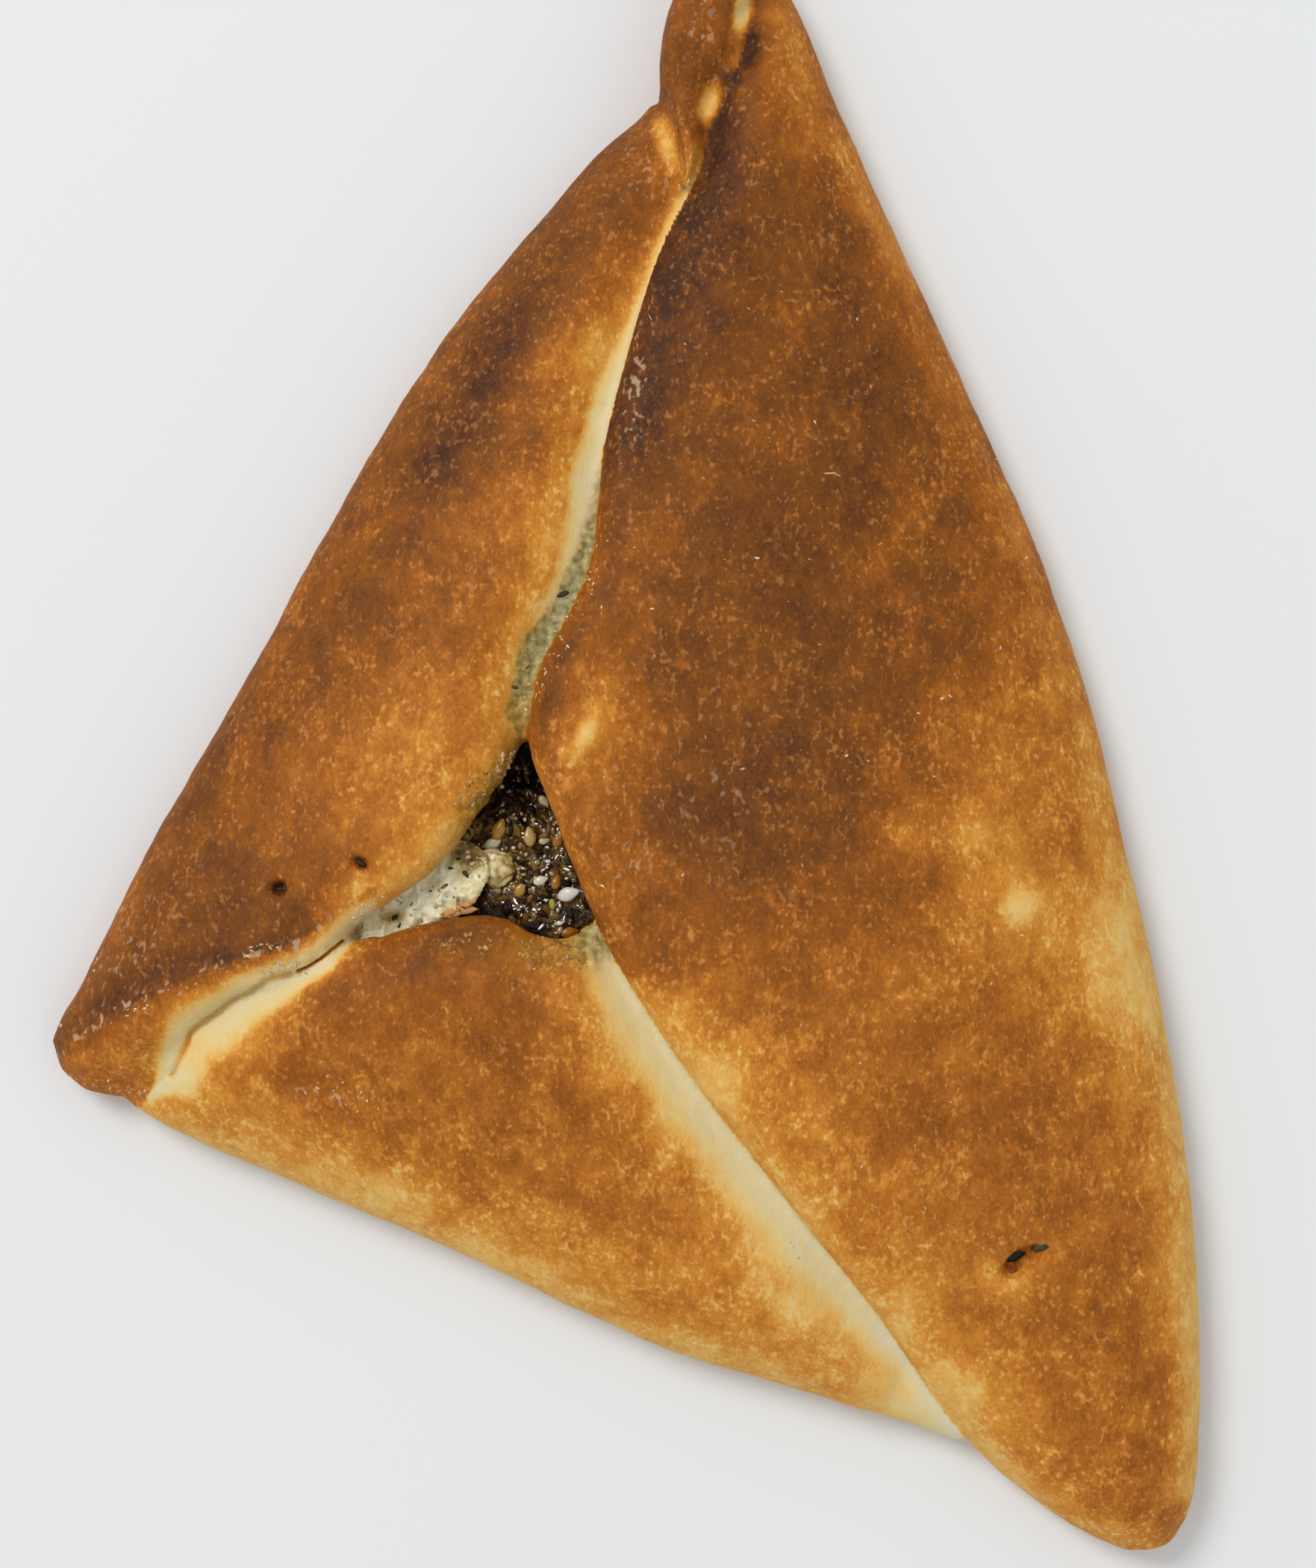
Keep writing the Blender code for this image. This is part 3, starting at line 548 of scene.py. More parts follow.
def brown_bottom(flat, wobble):
    """The bottom flap: golden, pale along the lower seam and along the corner's crease."""
    level = np.full(len(flat), 0.57)
    seam = distance(flat, lower_seam) / (1 + 0.2 * wobble)
    pale = np.interp(flat[:, 1], [-90, -84, -76, -66, -50, -30, -22], [-1.2, 0.0, 3.2, 4.4, 3.5, 2.5, 1.2])
    past = seam - pale
    along_seam = band(past, (-2.5, 0.04), (-0.5, 0.08), (1, 0.18), (3, 0.34), (6, 0.45), (11, 0.57))
    level = np.minimum(level, along_seam)
    outline = distance(flat, bottom_side) / (1 + 0.5 * wobble)
    narrow = np.interp(flat[:, 0], [-62, -58, -55, -50, -42, -33], [0.6, 1.0, 1.2, 1.1, 0.4, 0.25])
    corner = distance(flat, corner_seam) / narrow / (1 + 0.25 * wobble) + 6 * (1 - ease(outline / 8))
    along_corner = band(corner, (0, 0.04), (2.6, 0.08), (4.2, 0.2), (5.6, 0.38), (9, 0.5), (14, 0.57))
    along_corner += 0.1 * ease((-53 - flat[:, 0]) / 7)
    level = np.minimum(level, along_corner)
    return level - 0.3 * band(outline, (0, 1.0), (2, 0.85), (7, 0.35), (14, 0.0))


# %% Browning of the whole crust
FOOT_LEVEL = 5.0       # below this height in mm the side stays paler
FOOT_BROWN = 0.2
BUBBLE_BROWN = 0.1
PALE_BROWN = 0.06
INSIDE_BROWN = 0.04    # where the dough is turned under


def browning(co, normals):
    """The browning of each point, from 0 to 1."""
    flat, z = co[:, :2] / MM, co[:, 2] / MM
    points = co / MM
    wobble = lumps(points, 11.0, 3.1) + 0.5 * lumps(points, 4.0, 9.9)
    flap = flap_of(flat)
    parts = [brown_right(flat, wobble), brown_left(flat, wobble), brown_bottom(flat, wobble)]
    toast = np.choose(flap, parts)
    toast += together(flat, BLOTCHES) * ease((toast - 0.15) / 0.3)
    shake = 0.08 * lumps(points, 17.0, 7.7) + 0.07 * lumps(points, 7.0, 1.3)
    toast += shake * ease((toast - 0.1) / 0.3)
    toast += (BUBBLE_BROWN - toast) * strongest(flat, BUBBLES)
    toast += (PALE_BROWN - toast) * strongest(flat, PALE, 4)
    toast += strongest(flat, SCORCH_AND_SEAM_SHADE)
    # Painted shade: a little darker along the corner's crease and much darker in its crack, where shade falls
    toast += 0.12 * np.exp(-(distance(flat, corner_crease) / 0.25) ** 2)
    toast += 0.6 * np.exp(-(distance(flat, corner_crack) / 0.16) ** 2)
    foot = 1 - ease((z - 0.5) / FOOT_LEVEL)
    foot *= np.where(flap == LEFT, 0.4, 1.0)
    toast += (FOOT_BROWN - toast) * foot
    outline = np.min([distance(flat, side) for side in sides], axis=0)
    turned_under = ease((-normals[:, 2] - 0.05) / 0.3) * ease((z - 1.5) / 2) * ease((outline - 2) / 4)
    return np.clip(toast + (INSIDE_BROWN - toast) * turned_under, 0, 1)


def give(mesh, name, values):
    """Stores one number for each point of a mesh, for a material to read."""
    layer = mesh.attributes.new(name, "FLOAT", "POINT")
    layer.data.foreach_set("value", values.astype(np.float32))


toast = browning(corners_of(crust.data), normals_of(crust.data))
give(crust.data, "toast", toast)
print("browning from %.2f to %.2f, mean %.2f" % (toast.min(), toast.max(), toast.mean()))

# %% [markdown]
# ## Oil and flour
# Two more numbers per point finish the crust. Oil from the paste soaked the dough round the opening
# and along the middle seam and turned it green and glossy. Flour is left in creases, where the
# baker's hands didn't rub it off, and shows as pale grains.
# The oil number also holds a faint olive painted shade beside the corner's seam.

# %% Oil and flour
# Each is a place, two radii, a turn and how much lies there
OIL_SPOTS = [((-4.2, -26), (4.5, 3.0), 0, 0.6), ((-11, -27.6), (7, 2.8), 0, 0.36),
             ((-14.5, -1), (3, 4), 60, 0.3), ((-36, -24.5), (3, 2), 30, 0.3)]
FLOUR_SPOTS = [((-46, -29.5), (9, 1.6), 25, 0.9), ((-68, -43), (5, 3), 0, 0.3),
               ((-66, -28), (10, 5), 55, 0.5), ((-40, -47), (6, 3), -20, 0.7), ((1, 45), (1.6, 9), -8, 1.0),
               ((12, -4), (9, 12), 0, 0.4), ((0, -12), (4, 10), 15, 0.5), ((10, 92), (3, 6), 10, 0.6),
               ((2, 76), (5, 5), 0, 0.5)]


def oil_and_corner_shade(flat, wobble):
    """How much oil each point took up: the strip by the seam, the rim of the opening, a few spots. Beside the
    corner's seam it also gives a faint olive tint that is painted shade.
    """
    y = flat[:, 1]
    green_strip = np.interp(y, [-3, 2, 12, 24, 32, 38], [3.2, 3.2, 3.0, 2.3, 1.0, 0.0])
    strength = np.interp(y, [-3, 4, 12, 24, 34, 40], [0.6, 0.8, 1.0, 0.85, 0.5, 0.0])
    away = distance(flat, upper_seam)
    strip = strength * ease((green_strip * (1 + 0.3 * wobble) - away + 0.8) / 1.4)
    rim = 0.7 * (1 - ease(distance(flat, left_rim) / 3.8)) * ease((y + 17) / 9)
    spots = together(flat, OIL_SPOTS)
    # Painted shade: the shaded side of the corner's crease, as a faint olive tint through the oil ramp
    corner_seam_shade = 0.13 * (1 - ease((distance(flat, corner_seam) - 1.5) / 2.5)) * below_ridge(flat)
    flap = flap_of(flat)
    level = np.where(flap == LEFT, np.max([strip, rim, corner_seam_shade], axis=0), 0.0)
    return np.clip(np.maximum(level, np.where(flap == RIGHT, 0, spots)), 0, 1)


def floured(flat):
    """How much flour is left at each point."""
    crease = 0.7 * (1 - ease(distance(flat, ridge) / 1.2)) * (flat[:, 0] < -36)
    return np.clip(0.1 + together(flat, FLOUR_SPOTS) + crease, 0, 1)


points = corners_of(crust.data) / MM
oil = oil_and_corner_shade(points[:, :2], lumps(points, 3.0, 6.1))
flour = floured(points[:, :2])
give(crust.data, "oil", oil)
give(crust.data, "flour", flour)
print("mean oil %.3f, mean flour %.3f" % (oil.mean(), flour.mean()))

# %% [markdown]
# ## Shader helpers
# Node materials are long to write out by hand, so a few small helpers make a node, join it and hand
# back its output. An effect that several materials need becomes a node group: it is built once, and each
# material places it with its own values.

# %% Node helpers
def node(tree, kind, inputs=None, **settings):
    """A shader node. inputs maps a socket's name or number to a value or to another socket."""
    made = tree.nodes.new(kind)
    for name, value in settings.items():
        setattr(made, name, value)
    for key, value in (inputs or {}).items():
        if isinstance(value, bpy.types.NodeSocket):
            tree.links.new(value, made.inputs[key])
        else:
            made.inputs[key].default_value = value
    return made


def calc(tree, operation, *values):
    made = node(tree, "ShaderNodeMath", dict(enumerate(values)), operation=operation)
    return made.outputs[0]


def blend(tree, share, under, over):
    """A mix of two colours."""
    made = node(tree, "ShaderNodeMix", {0: share, 6: under, 7: over}, data_type="RGBA")
    return made.outputs[2]


def roughen(tree, shader, height, depth, strength):
    """Bump from a height that runs over about 1, with its depth in millimetres."""
    bump = node(tree, "ShaderNodeBump", {"Height": height, "Distance": depth * MM, "Strength": strength})
    tree.links.new(bump.outputs[0], shader.inputs["Normal"])


def span(tree, value, low, high, start=0.0, end=1.0):
    """A value that runs from low to high while another runs from start to end."""
    made = node(tree, "ShaderNodeMapRange", {0: value, 1: start, 2: end, 3: low, 4: high})
    return made.outputs[0]


def rgb(red, green, blue):
    """A colour given as 0 to 255 screen values, in the linear values that nodes use."""
    parts = np.array([red, green, blue]) / 255
    linear = np.where(parts <= 0.04045, parts / 12.92, ((parts + 0.055) / 1.055) ** 2.4)
    return (*linear.tolist(), 1)


def ramp(tree, share, stops):
    """A colour ramp from (place, colour) stops."""
    made = node(tree, "ShaderNodeValToRGB", {0: share})
    elements = made.color_ramp.elements
    while len(elements) < len(stops):
        elements.new(0.5)
    for element, (place, colour) in zip(elements, stops):
        element.position = place
        element.color = colour
    return made.outputs[0]


def attribute(tree, name):
    return node(tree, "ShaderNodeAttribute", attribute_name=name).outputs["Fac"]


def new_group(name, inputs, outputs):
    """An empty node group. inputs is (name, default) pairs, outputs a list of names."""
    tree = bpy.data.node_groups.new(name, "ShaderNodeTree")
    for label, value in inputs:
        socket = tree.interface.new_socket(label, in_out="INPUT", socket_type="NodeSocketFloat")
        socket.default_value = value
    for label in outputs:
        tree.interface.new_socket(label, in_out="OUTPUT", socket_type="NodeSocketFloat")
    return tree, tree.nodes.new("NodeGroupInput"), tree.nodes.new("NodeGroupOutput")


def place_group(tree, group, **values):
    """Places a node group with values of its own, and gives its output."""
    return node(tree, "ShaderNodeGroup", values, node_tree=group).outputs[0]


# %% Mottle
def make_mottle():
    """Noise centred on 0, of a given size in millimetres and drawn out along Y."""
    tree, given, result = new_group("mottle", [("Size", 2.0), ("Stretch", 1.0), ("Detail", 3.0)],
                                    ["Value"])
    place = node(tree, "ShaderNodeTexCoord").outputs["Object"]
    split = node(tree, "ShaderNodeSeparateXYZ", {0: place})
    shrunk = calc(tree, "DIVIDE", split.outputs[1], given.outputs["Stretch"])
    joined = node(tree, "ShaderNodeCombineXYZ", {0: split.outputs[0], 1: shrunk, 2: split.outputs[2]})
    scale = calc(tree, "DIVIDE", 1 / MM, given.outputs["Size"])
    made = node(tree, "ShaderNodeTexNoise", {"Vector": joined.outputs[0], "Scale": scale,
                                             "Detail": given.outputs["Detail"]})
    centred = calc(tree, "SUBTRACT", made.outputs[0], 0.5)
    tree.links.new(centred, result.inputs[0])
    return tree


mottle = make_mottle()


# %% Flecks
def make_flecks():
    """A mask of small ragged flecks of a given size in mm. Cover is the share of the surface."""
    tree, given, result = new_group("flecks", [("Size", 0.8), ("Cover", 0.1), ("Stretch", 1.3),
                                               ("Softness", 0.08)], ["Mask"])
    noise_value = place_group(tree, mottle, Size=given.outputs["Size"], Detail=1.5,
                              Stretch=given.outputs["Stretch"])
    # Half of the noise lies above 0, and hardly any above 0.2
    edge = span(tree, given.outputs["Cover"], 0.2, 0.0, 0.0, 0.5)
    over = calc(tree, "SUBTRACT", noise_value, edge)
    mask = span(tree, over, 0.0, 1.0, 0.0, given.outputs["Softness"])
    tree.links.new(mask, result.inputs[0])
    return tree


flecks = make_flecks()
print("node groups:", [group.name for group in bpy.data.node_groups])

# %% [markdown]
# ## The crust's finish
# The ramp runs through the colours of baking: cream, yellow, bright orange, then browns that turn
# greyer as they darken. Noise of three sizes shakes the value before the ramp, so that light and
# dark grains appear without painting any of them. Pale flecks are tiny blisters and flour.
# A crust has very little shine, so the specular level is low.

# %% Crust colours
BAKED = [(0.00, rgb(214, 204, 168)), (0.10, rgb(222, 196, 132)), (0.22, rgb(224, 176, 92)),
         (0.36, rgb(204, 134, 46)), (0.50, rgb(176, 104, 32)), (0.62, rgb(150, 84, 22)),
         (0.75, rgb(122, 69, 20)), (0.88, rgb(100, 55, 21)), (1.00, rgb(68, 40, 24))]
OILED = [(0.3, rgb(134, 96, 18)), (0.6, rgb(128, 104, 34)), (0.95, rgb(112, 104, 58))]
FLOUR_WHITE = rgb(204, 172, 136)
FLECK_TAN = rgb(208, 158, 104)


def crust_colour(tree):
    """The crust's colour, and the noise that its bump shares."""
    toast = attribute(tree, "toast")
    coarse = place_group(tree, mottle, Size=3.8, Stretch=1.2, Detail=3.0)
    middle = place_group(tree, mottle, Size=1.3, Stretch=1.5, Detail=2.0)
    grain = place_group(tree, mottle, Size=0.4, Stretch=1.5, Detail=1.0)
    shake = calc(tree, "MULTIPLY", coarse, 0.34)
    shake = calc(tree, "MULTIPLY_ADD", middle, 0.2, shake)
    shake = calc(tree, "MULTIPLY_ADD", grain, 0.22, shake)
    strength = span(tree, toast, 0.15, 1.0, 0.05, 0.45)
    shaken = calc(tree, "MULTIPLY_ADD", shake, strength, toast)
    cluster = place_group(tree, mottle, Size=6.0, Detail=2.0)
    soft = place_group(tree, flecks, Size=1.0, Cover=calc(tree, "MULTIPLY_ADD", cluster, 0.9, 0.4),
                       Stretch=1.7, Softness=0.16)
    crisp = place_group(tree, flecks, Size=0.7, Cover=calc(tree, "MULTIPLY_ADD", cluster, 0.8, 0.26),
                        Stretch=1.3, Softness=0.1)
    soft = calc(tree, "MULTIPLY", soft, strength)
    crisp = calc(tree, "MULTIPLY", crisp, strength)
    value = calc(tree, "MULTIPLY_ADD", soft, -0.1, shaken)
    value = calc(tree, "MULTIPLY_ADD", crisp, -0.12, value)
    baked = ramp(tree, value, BAKED)
    flecked = blend(tree, calc(tree, "MULTIPLY", crisp, 0.15), baked, FLECK_TAN)
    return flecked, calc(tree, "MULTIPLY_ADD", middle, 0.6, calc(tree, "MULTIPLY", grain, 0.4))


# %% Crust material
def crust_material():
    """The baked colour, turned green and shinier by oil, with a faint olive painted shade beside the corner's
    seam, and dusted with flour.
    """
    material, tree, shader = new_material("crust")
    baked, height = crust_colour(tree)
    oil = attribute(tree, "oil")
    crumbs = place_group(tree, mottle, Size=0.9, Detail=3.0)
    share = calc(tree, "MINIMUM", calc(tree, "MULTIPLY", oil, 1.5), 1.0)
    soaked = calc(tree, "MULTIPLY", share, calc(tree, "MULTIPLY_ADD", crumbs, 1.7, 0.72))
    green = blend(tree, soaked, baked, ramp(tree, oil, OILED))
    flour = attribute(tree, "flour")
    grains = place_group(tree, flecks, Size=1.1, Cover=calc(tree, "MULTIPLY", flour, 0.4),
                         Stretch=1.4, Softness=0.06)
    dusted = blend(tree, calc(tree, "MULTIPLY", grains, calc(tree, "MULTIPLY", flour, 0.6)),
                   green, FLOUR_WHITE)
    tree.links.new(dusted, shader.inputs["Base Color"])
    tree.links.new(span(tree, oil, 0.62, 0.4), shader.inputs["Roughness"])
    shader.inputs["Specular IOR Level"].default_value = 0.12
    roughen(tree, shader, height, 0.2, 0.7)
    return material


crust.data.materials.append(crust_material())
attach(crust, "root")
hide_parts("dough")
print("crust dressed")

# %% [markdown]
# ## Zaatar paste
# Zaatar is thyme, sumac and sesame in oil. Baked, it is a nearly black, wet, lumpy paste. Its copy
# is remeshed finer than the crust, and two sizes of noise push it up and down, but only where
# it shows: under the flaps it must keep the small gap to the dough.

# %% Fine copy of the filling
SHOWN_ABOVE = 10.5     # the lowest height in mm at which the filling shows


def opening_loop():
    """The corners of the opening, seen from above."""
    left = left_edge[left_edge[:, 0] > BOTTOM_EDGE[0][0]]
    right = right_edge[(right_edge[:, 1] < LEFT_EDGE[-1][1]) & (right_edge[:, 1] > BOTTOM_EDGE[-1][1])]
    return np.vstack([left, right, bottom_edge[::-1]])


def shown(flat, margin):
    """1 in the opening, falling to 0 within a margin in mm beyond its edge."""
    loop = opening_loop()
    away = distance(flat, np.vstack([loop, loop[:1]]))
    away = np.where(within(flat, loop), -away, away)
    return 1 - ease((away + 0.3) / margin)


def far_from_opening(co):
    flat = co[:, :2] / MM
    return (np.linalg.norm(flat - OPENING, axis=1) > 27) | (co[:, 2] / MM < SHOWN_ABOVE)


def in_opening(co):
    """The part of a fine copy that shows in the opening, seen from above."""
    return (shown(co[:, :2] / MM, 1.5) > 0.2) & (co[:, 2] / MM > SHOWN_ABOVE)


filling = fine_copy("filling", "zaatar_filling", voxel=0.42 * MM, smoothing=6,
                    hidden=far_from_opening, keep=0.3)

# %% Relief of the paste
HOLLOW = (-12.3, -2.5)     # where the paste has sunk away under the flaps


def paste_relief(co):
    """How far up or down each point of the paste goes, in mm."""
    flat, points = co[:, :2] / MM, co / MM
    coarse = 0.6 * lumps(points, 2.3, 4.2)
    fine = 0.42 * lumps(points, 1.1, 9.1) + 0.1 * lumps(points, 0.55, 2.1)
    ridges = 0.3 * (1 - 2 * np.abs(lumps(points, 2.6, 12.0)))
    sunk = 2.2 * spot_shape(flat, HOLLOW, (4.5, 6.5), 20)
    return (coarse + fine + ridges - 0.2 - sunk) * shown(flat, 1.5)


def raise_top(piece, relief):
    """Moves the upward faces of a piece up and down by relief(points), in mm."""
    co = corners_of(piece.data)
    push = relief(co) * ease(normals_of(piece.data)[:, 2] / 0.5)
    co[:, 2] += push * MM
    set_corners(piece.data, co)
    print("%s moved by %.1f to %.1f mm" % (piece.name, push.min(), push.max()))


refine(filling.data, in_opening)
raise_top(filling, paste_relief)

# %% Paste material
PASTE = [(0.0, rgb(14, 7, 3)), (0.3, rgb(36, 20, 8)), (0.5, rgb(72, 46, 16)),
         (0.7, rgb(112, 82, 32)), (1.0, rgb(166, 136, 72))]


def paste_material():
    """Brown and olive oily paste. Wet places shine sharply and the rest hardly at all."""
    material, tree, shader = new_material("zaatar")
    coarse = place_group(tree, mottle, Size=2.6, Detail=3.0)
    fine = place_group(tree, mottle, Size=0.6, Detail=3.0)
    light = attribute(tree, "light")
    value = calc(tree, "MULTIPLY_ADD", coarse, 1.3, light)
    value = calc(tree, "MULTIPLY_ADD", fine, 0.9, value)
    tree.links.new(ramp(tree, value, PASTE), shader.inputs["Base Color"])
    wet = place_group(tree, flecks, Size=2.0, Cover=0.4, Stretch=1.0, Softness=0.1)
    tree.links.new(span(tree, wet, 0.45, 0.07), shader.inputs["Roughness"])
    tree.links.new(span(tree, wet, 0.1, 0.6), shader.inputs["Specular IOR Level"])
    roughen(tree, shader, fine, 0.12, 0.6)
    return material


# %% Dress the paste
# Paler places and, with a minus, the hollow: place, radii, turn and how much. The hollow's minus is painted
# shade under the flaps.
# The paler spots by the left rim, along the right side and low down are painted light: glints of the wet
# paste, and lightening that offsets the shade under the flaps. The rest are the paste's own paler colour.
PASTE_TONE_AND_PAINTED_LIGHT = [((-13.6, -3), (4.2, 6), 0, -0.17), ((-15, -16.5), (5, 4), 0, 0.18),
                ((-21.8, -13), (2.4, 2), 40, 0.6), ((-9, -15), (2.5, 6), 15, 0.16),
                ((-12, -22), (6, 1.6), 10, 0.12), ((-13.5, -10), (3, 2), 0, 0.14),
                ((-6, -20), (2, 5), 20, 0.16)]


def light_up(mesh, level, spots):
    """Gives a mesh its light attribute: one level for all, changed in a few spots."""
    light = level + together(corners_of(mesh)[:, :2] / MM, spots)
    give(mesh, "light", light)
    print("light from %.2f to %.2f" % (light.min(), light.max()))


light_up(filling.data, 0.36, PASTE_TONE_AND_PAINTED_LIGHT)
filling.data.materials.append(paste_material())
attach(filling, "root")
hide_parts("zaatar_filling")
print("paste dressed")

# %% [markdown]
# ## Cheese
# A white brined cheese melts into a soft, wet, wrinkled mass, and bits of herb sink into it. It is
# built like the paste, with broad folds and small pores, and a finer voxel since it is small.

# %% Fine copy of the cheese
cheese = fine_copy("cheese", "melted_cheese", voxel=0.3 * MM, smoothing=6,
                   hidden=lambda co: co[:, 2] / MM < 11.5, keep=0.6)

# %% Relief of the cheese
# Each is a place, two radii, a turn and a depth in millimetres
CHEESE_HOLLOWS = [((-36, -25.3), (3, 2), 30, 0.3), ((-31, -23.4), (1.4, 0.9), 20, 0.7),
                  ((-20.8, -16.0), (2.4, 2.4), 0, 1.0)]


def cheese_relief(co):
    """How far up or down each point of the cheese goes, in mm."""
    flat, points = co[:, :2] / MM, co / MM
    folds = 0.7 * (1 - 2.4 * np.abs(lumps(points * [1.5, 1, 1], 3.2, 2.0)))
    knobs = 0.5 * lumps(points, 1.6, 8.8) + 0.25 * lumps(points, 0.8, 4.4)
    pores = -0.4 * ease(lumps(points, 0.7, 5.5) * 2 - 0.5)
    return (folds + knobs + pores - together(flat, CHEESE_HOLLOWS) + 0.1) * shown(flat, 1.5)


refine(cheese.data, in_opening)
raise_top(cheese, cheese_relief)

# %% Cheese material
CURD = [(0.0, rgb(128, 98, 42)), (0.3, rgb(178, 150, 92)), (0.55, rgb(216, 200, 146)),
        (1.0, rgb(242, 236, 206))]


def cheese_material():
    """Curd from cream to olive where oil soaked in, with painted shade at its left end and in a pore, flecks
    of herb, and wet.
    """
    material, tree, shader = new_material("cheese")
    coarse = place_group(tree, mottle, Size=2.8, Detail=2.0)
    fine = place_group(tree, mottle, Size=0.6, Detail=2.0)
    value = calc(tree, "MULTIPLY_ADD", coarse, 1.2, attribute(tree, "light"))
    value = calc(tree, "MULTIPLY_ADD", fine, 0.6, value)
    curd = ramp(tree, value, CURD)
    herbs = place_group(tree, flecks, Size=1.0, Cover=0.05, Stretch=1.0)
    tinted = blend(tree, calc(tree, "MULTIPLY", herbs, 0.75), curd, rgb(70, 62, 30))
    tree.links.new(tinted, shader.inputs["Base Color"])
    shader.inputs["Roughness"].default_value = 0.16
    shader.inputs["Specular IOR Level"].default_value = 0.4
    roughen(tree, shader, fine, 0.14, 0.6)
    return material


# %% Dress the cheese
# Olive where oil soaked in and a paler middle, with painted shade at the left end under the flaps' edges and
# in a pore that also has dark flecks: place, radii, turn and how much
CHEESE_TONE_AND_PAINTED_SHADE = [((-22.2, -15.2), (2.2, 1.6), 0, -0.4), ((-37, -25.5), (4, 2), 30, -0.14),
                 ((-31, -23.4), (1.5, 0.9), 20, -0.5), ((-27, -20.5), (5, 2.4), 20, 0.32),
                 ((-19.4, -14.6), (3.2, 2.6), 0, -0.7)]
light_up(cheese.data, 0.7, CHEESE_TONE_AND_PAINTED_SHADE)
cheese.data.materials.append(cheese_material())
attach(cheese, "root")
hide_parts("melted_cheese")
print("cheese dressed")

# %% [markdown]
# ## Small things that lie on a surface
# Seeds, herb flakes and crumbs are many copies of a simple lump. Each kind becomes one joined mesh:
# numpy bends a sphere's points for each copy, a ray shot straight down finds where it lies and how
# the surface slopes there, and a number called tone gives each copy its own shade.

# %% Placing and joining lumps
def points_and_faces(made):
    """The points of a bmesh as an array and its faces as lists of numbers. Frees the bmesh."""
    made.verts.index_update()
    points = np.array([v.co for v in made.verts])
    faces = [[v.index for v in face.verts] for face in made.faces]
    made.free()
    return points, faces


def ball(segments, rings):
    """Points and faces of a sphere of radius 1 about X."""
    made = bmesh.new()
    bmesh.ops.create_uvsphere(made, u_segments=segments, v_segments=rings, radius=1)
    bmesh.ops.rotate(made, verts=made.verts, matrix=Matrix.Rotation(math.pi / 2, 3, "Y"))
    return points_and_faces(made)


def tree_of(obj):
    return BVHTree.FromObject(obj, bpy.context.evaluated_depsgraph_get())


ABOVE_ALL = 60 * MM
CRUST, PASTE_TOP, CHEESE_TOP = 0, 1, 2
ON_FILLING = (PASTE_TOP, CHEESE_TOP)
ANYWHERE = (CRUST, *ON_FILLING)
trees = [tree_of(crust), tree_of(filling), tree_of(cheese)]


def lay(points, half, place, turn, lift=0.0, tip=0.0, on=ANYWHERE, up=None):
    """Scales a lump to its half sizes, turns it, and lays it on the highest surface below, along
    that surface unless up is given. Gives None where that surface isn't one of those in on."""
    start = Vector((place[0] * MM, place[1] * MM, ABOVE_ALL))
    hits = [(number, *tree.ray_cast(start, Vector((0, 0, -1)))) for number, tree in enumerate(trees)]
    hits = [hit for hit in hits if hit[1] is not None]
    if not hits:
        return None
    number, spot, facing = max(hits, key=lambda hit: hit[1].z)[:3]
    if number not in on:
        return None
    up = up or (facing + Vector((0, 0, 1.2))).normalized()
    turn, tip = math.radians(turn), math.radians(tip)
    ahead = Vector((math.cos(turn), math.sin(turn), math.sin(tip)))
    ahead = (ahead - up * ahead.dot(up)).normalized()
    stand = np.array(Matrix((ahead, up.cross(ahead), up)))
    return points * np.array(half) * MM @ stand + np.array(spot + up * lift * MM)


def join(name, lumps_made, faces, tones, material):
    """One object from several lumps with the same faces, with each lump's tone as an attribute."""
    count = len(lumps_made[0])
    joined = bpy.data.meshes.new(name)
    all_faces = [[i + k * count for i in face] for k in range(len(lumps_made)) for face in faces]
    joined.from_pydata(np.vstack(lumps_made).tolist(), [], all_faces)
    give(joined, "tone", np.repeat(tones, count))
    joined.shade_smooth()
    joined.materials.append(material)
    made = add_object(name, joined)
    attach(made, "root")
    print(name, "has", len(lumps_made), "pieces and", len(all_faces), "faces")
    return made


# %% [markdown]
# ## Sesame seeds
# A hulled sesame seed is a flat drop, 3 mm long: round at one end and pointed at the other. Those
# on top stayed white, those near the oil turned amber or went glassy. Tone 0 is white, 1 amber.

# %% Sesame seeds
SEED_HALF = (1.55, 1.0, 0.55)
# Place, turn in degrees, size and tone of the seeds that show
SEEDS = [((-17.0, -11.6), 70, 0.95, 0.85), ((-13.0, -12.6), 95, 0.86, 0.55), ((-17.9, -13.6), 30, 0.85, 0.3),
         ((-11.1, -13.2), 10, 0.5, 0.3), ((-9.2, -13.1), 60, 0.7, 0.9), ((-11.5, -18.4), 20, 0.66, 0.15),
         ((-9.5, -18.6), 75, 0.66, 0.95), ((-7.8, -20.2), 18, 1.0, 0.0), ((-7.6, -25.3), 8, 0.8, 1.0),
         ((-9.0, -24.1), 0, 0.34, 0.0), ((-11.2, -8.0), -50, 0.6, 0.35), ((-14.2, -19.6), 60, 0.75, 0.7)]


def drop(points):
    """A sphere about X drawn to a blunt point at +X."""
    slim = 1 - 0.38 * ease((points[:, :1] + 0.2) / 1.2)
    return points * np.hstack([np.ones_like(slim), slim, slim])


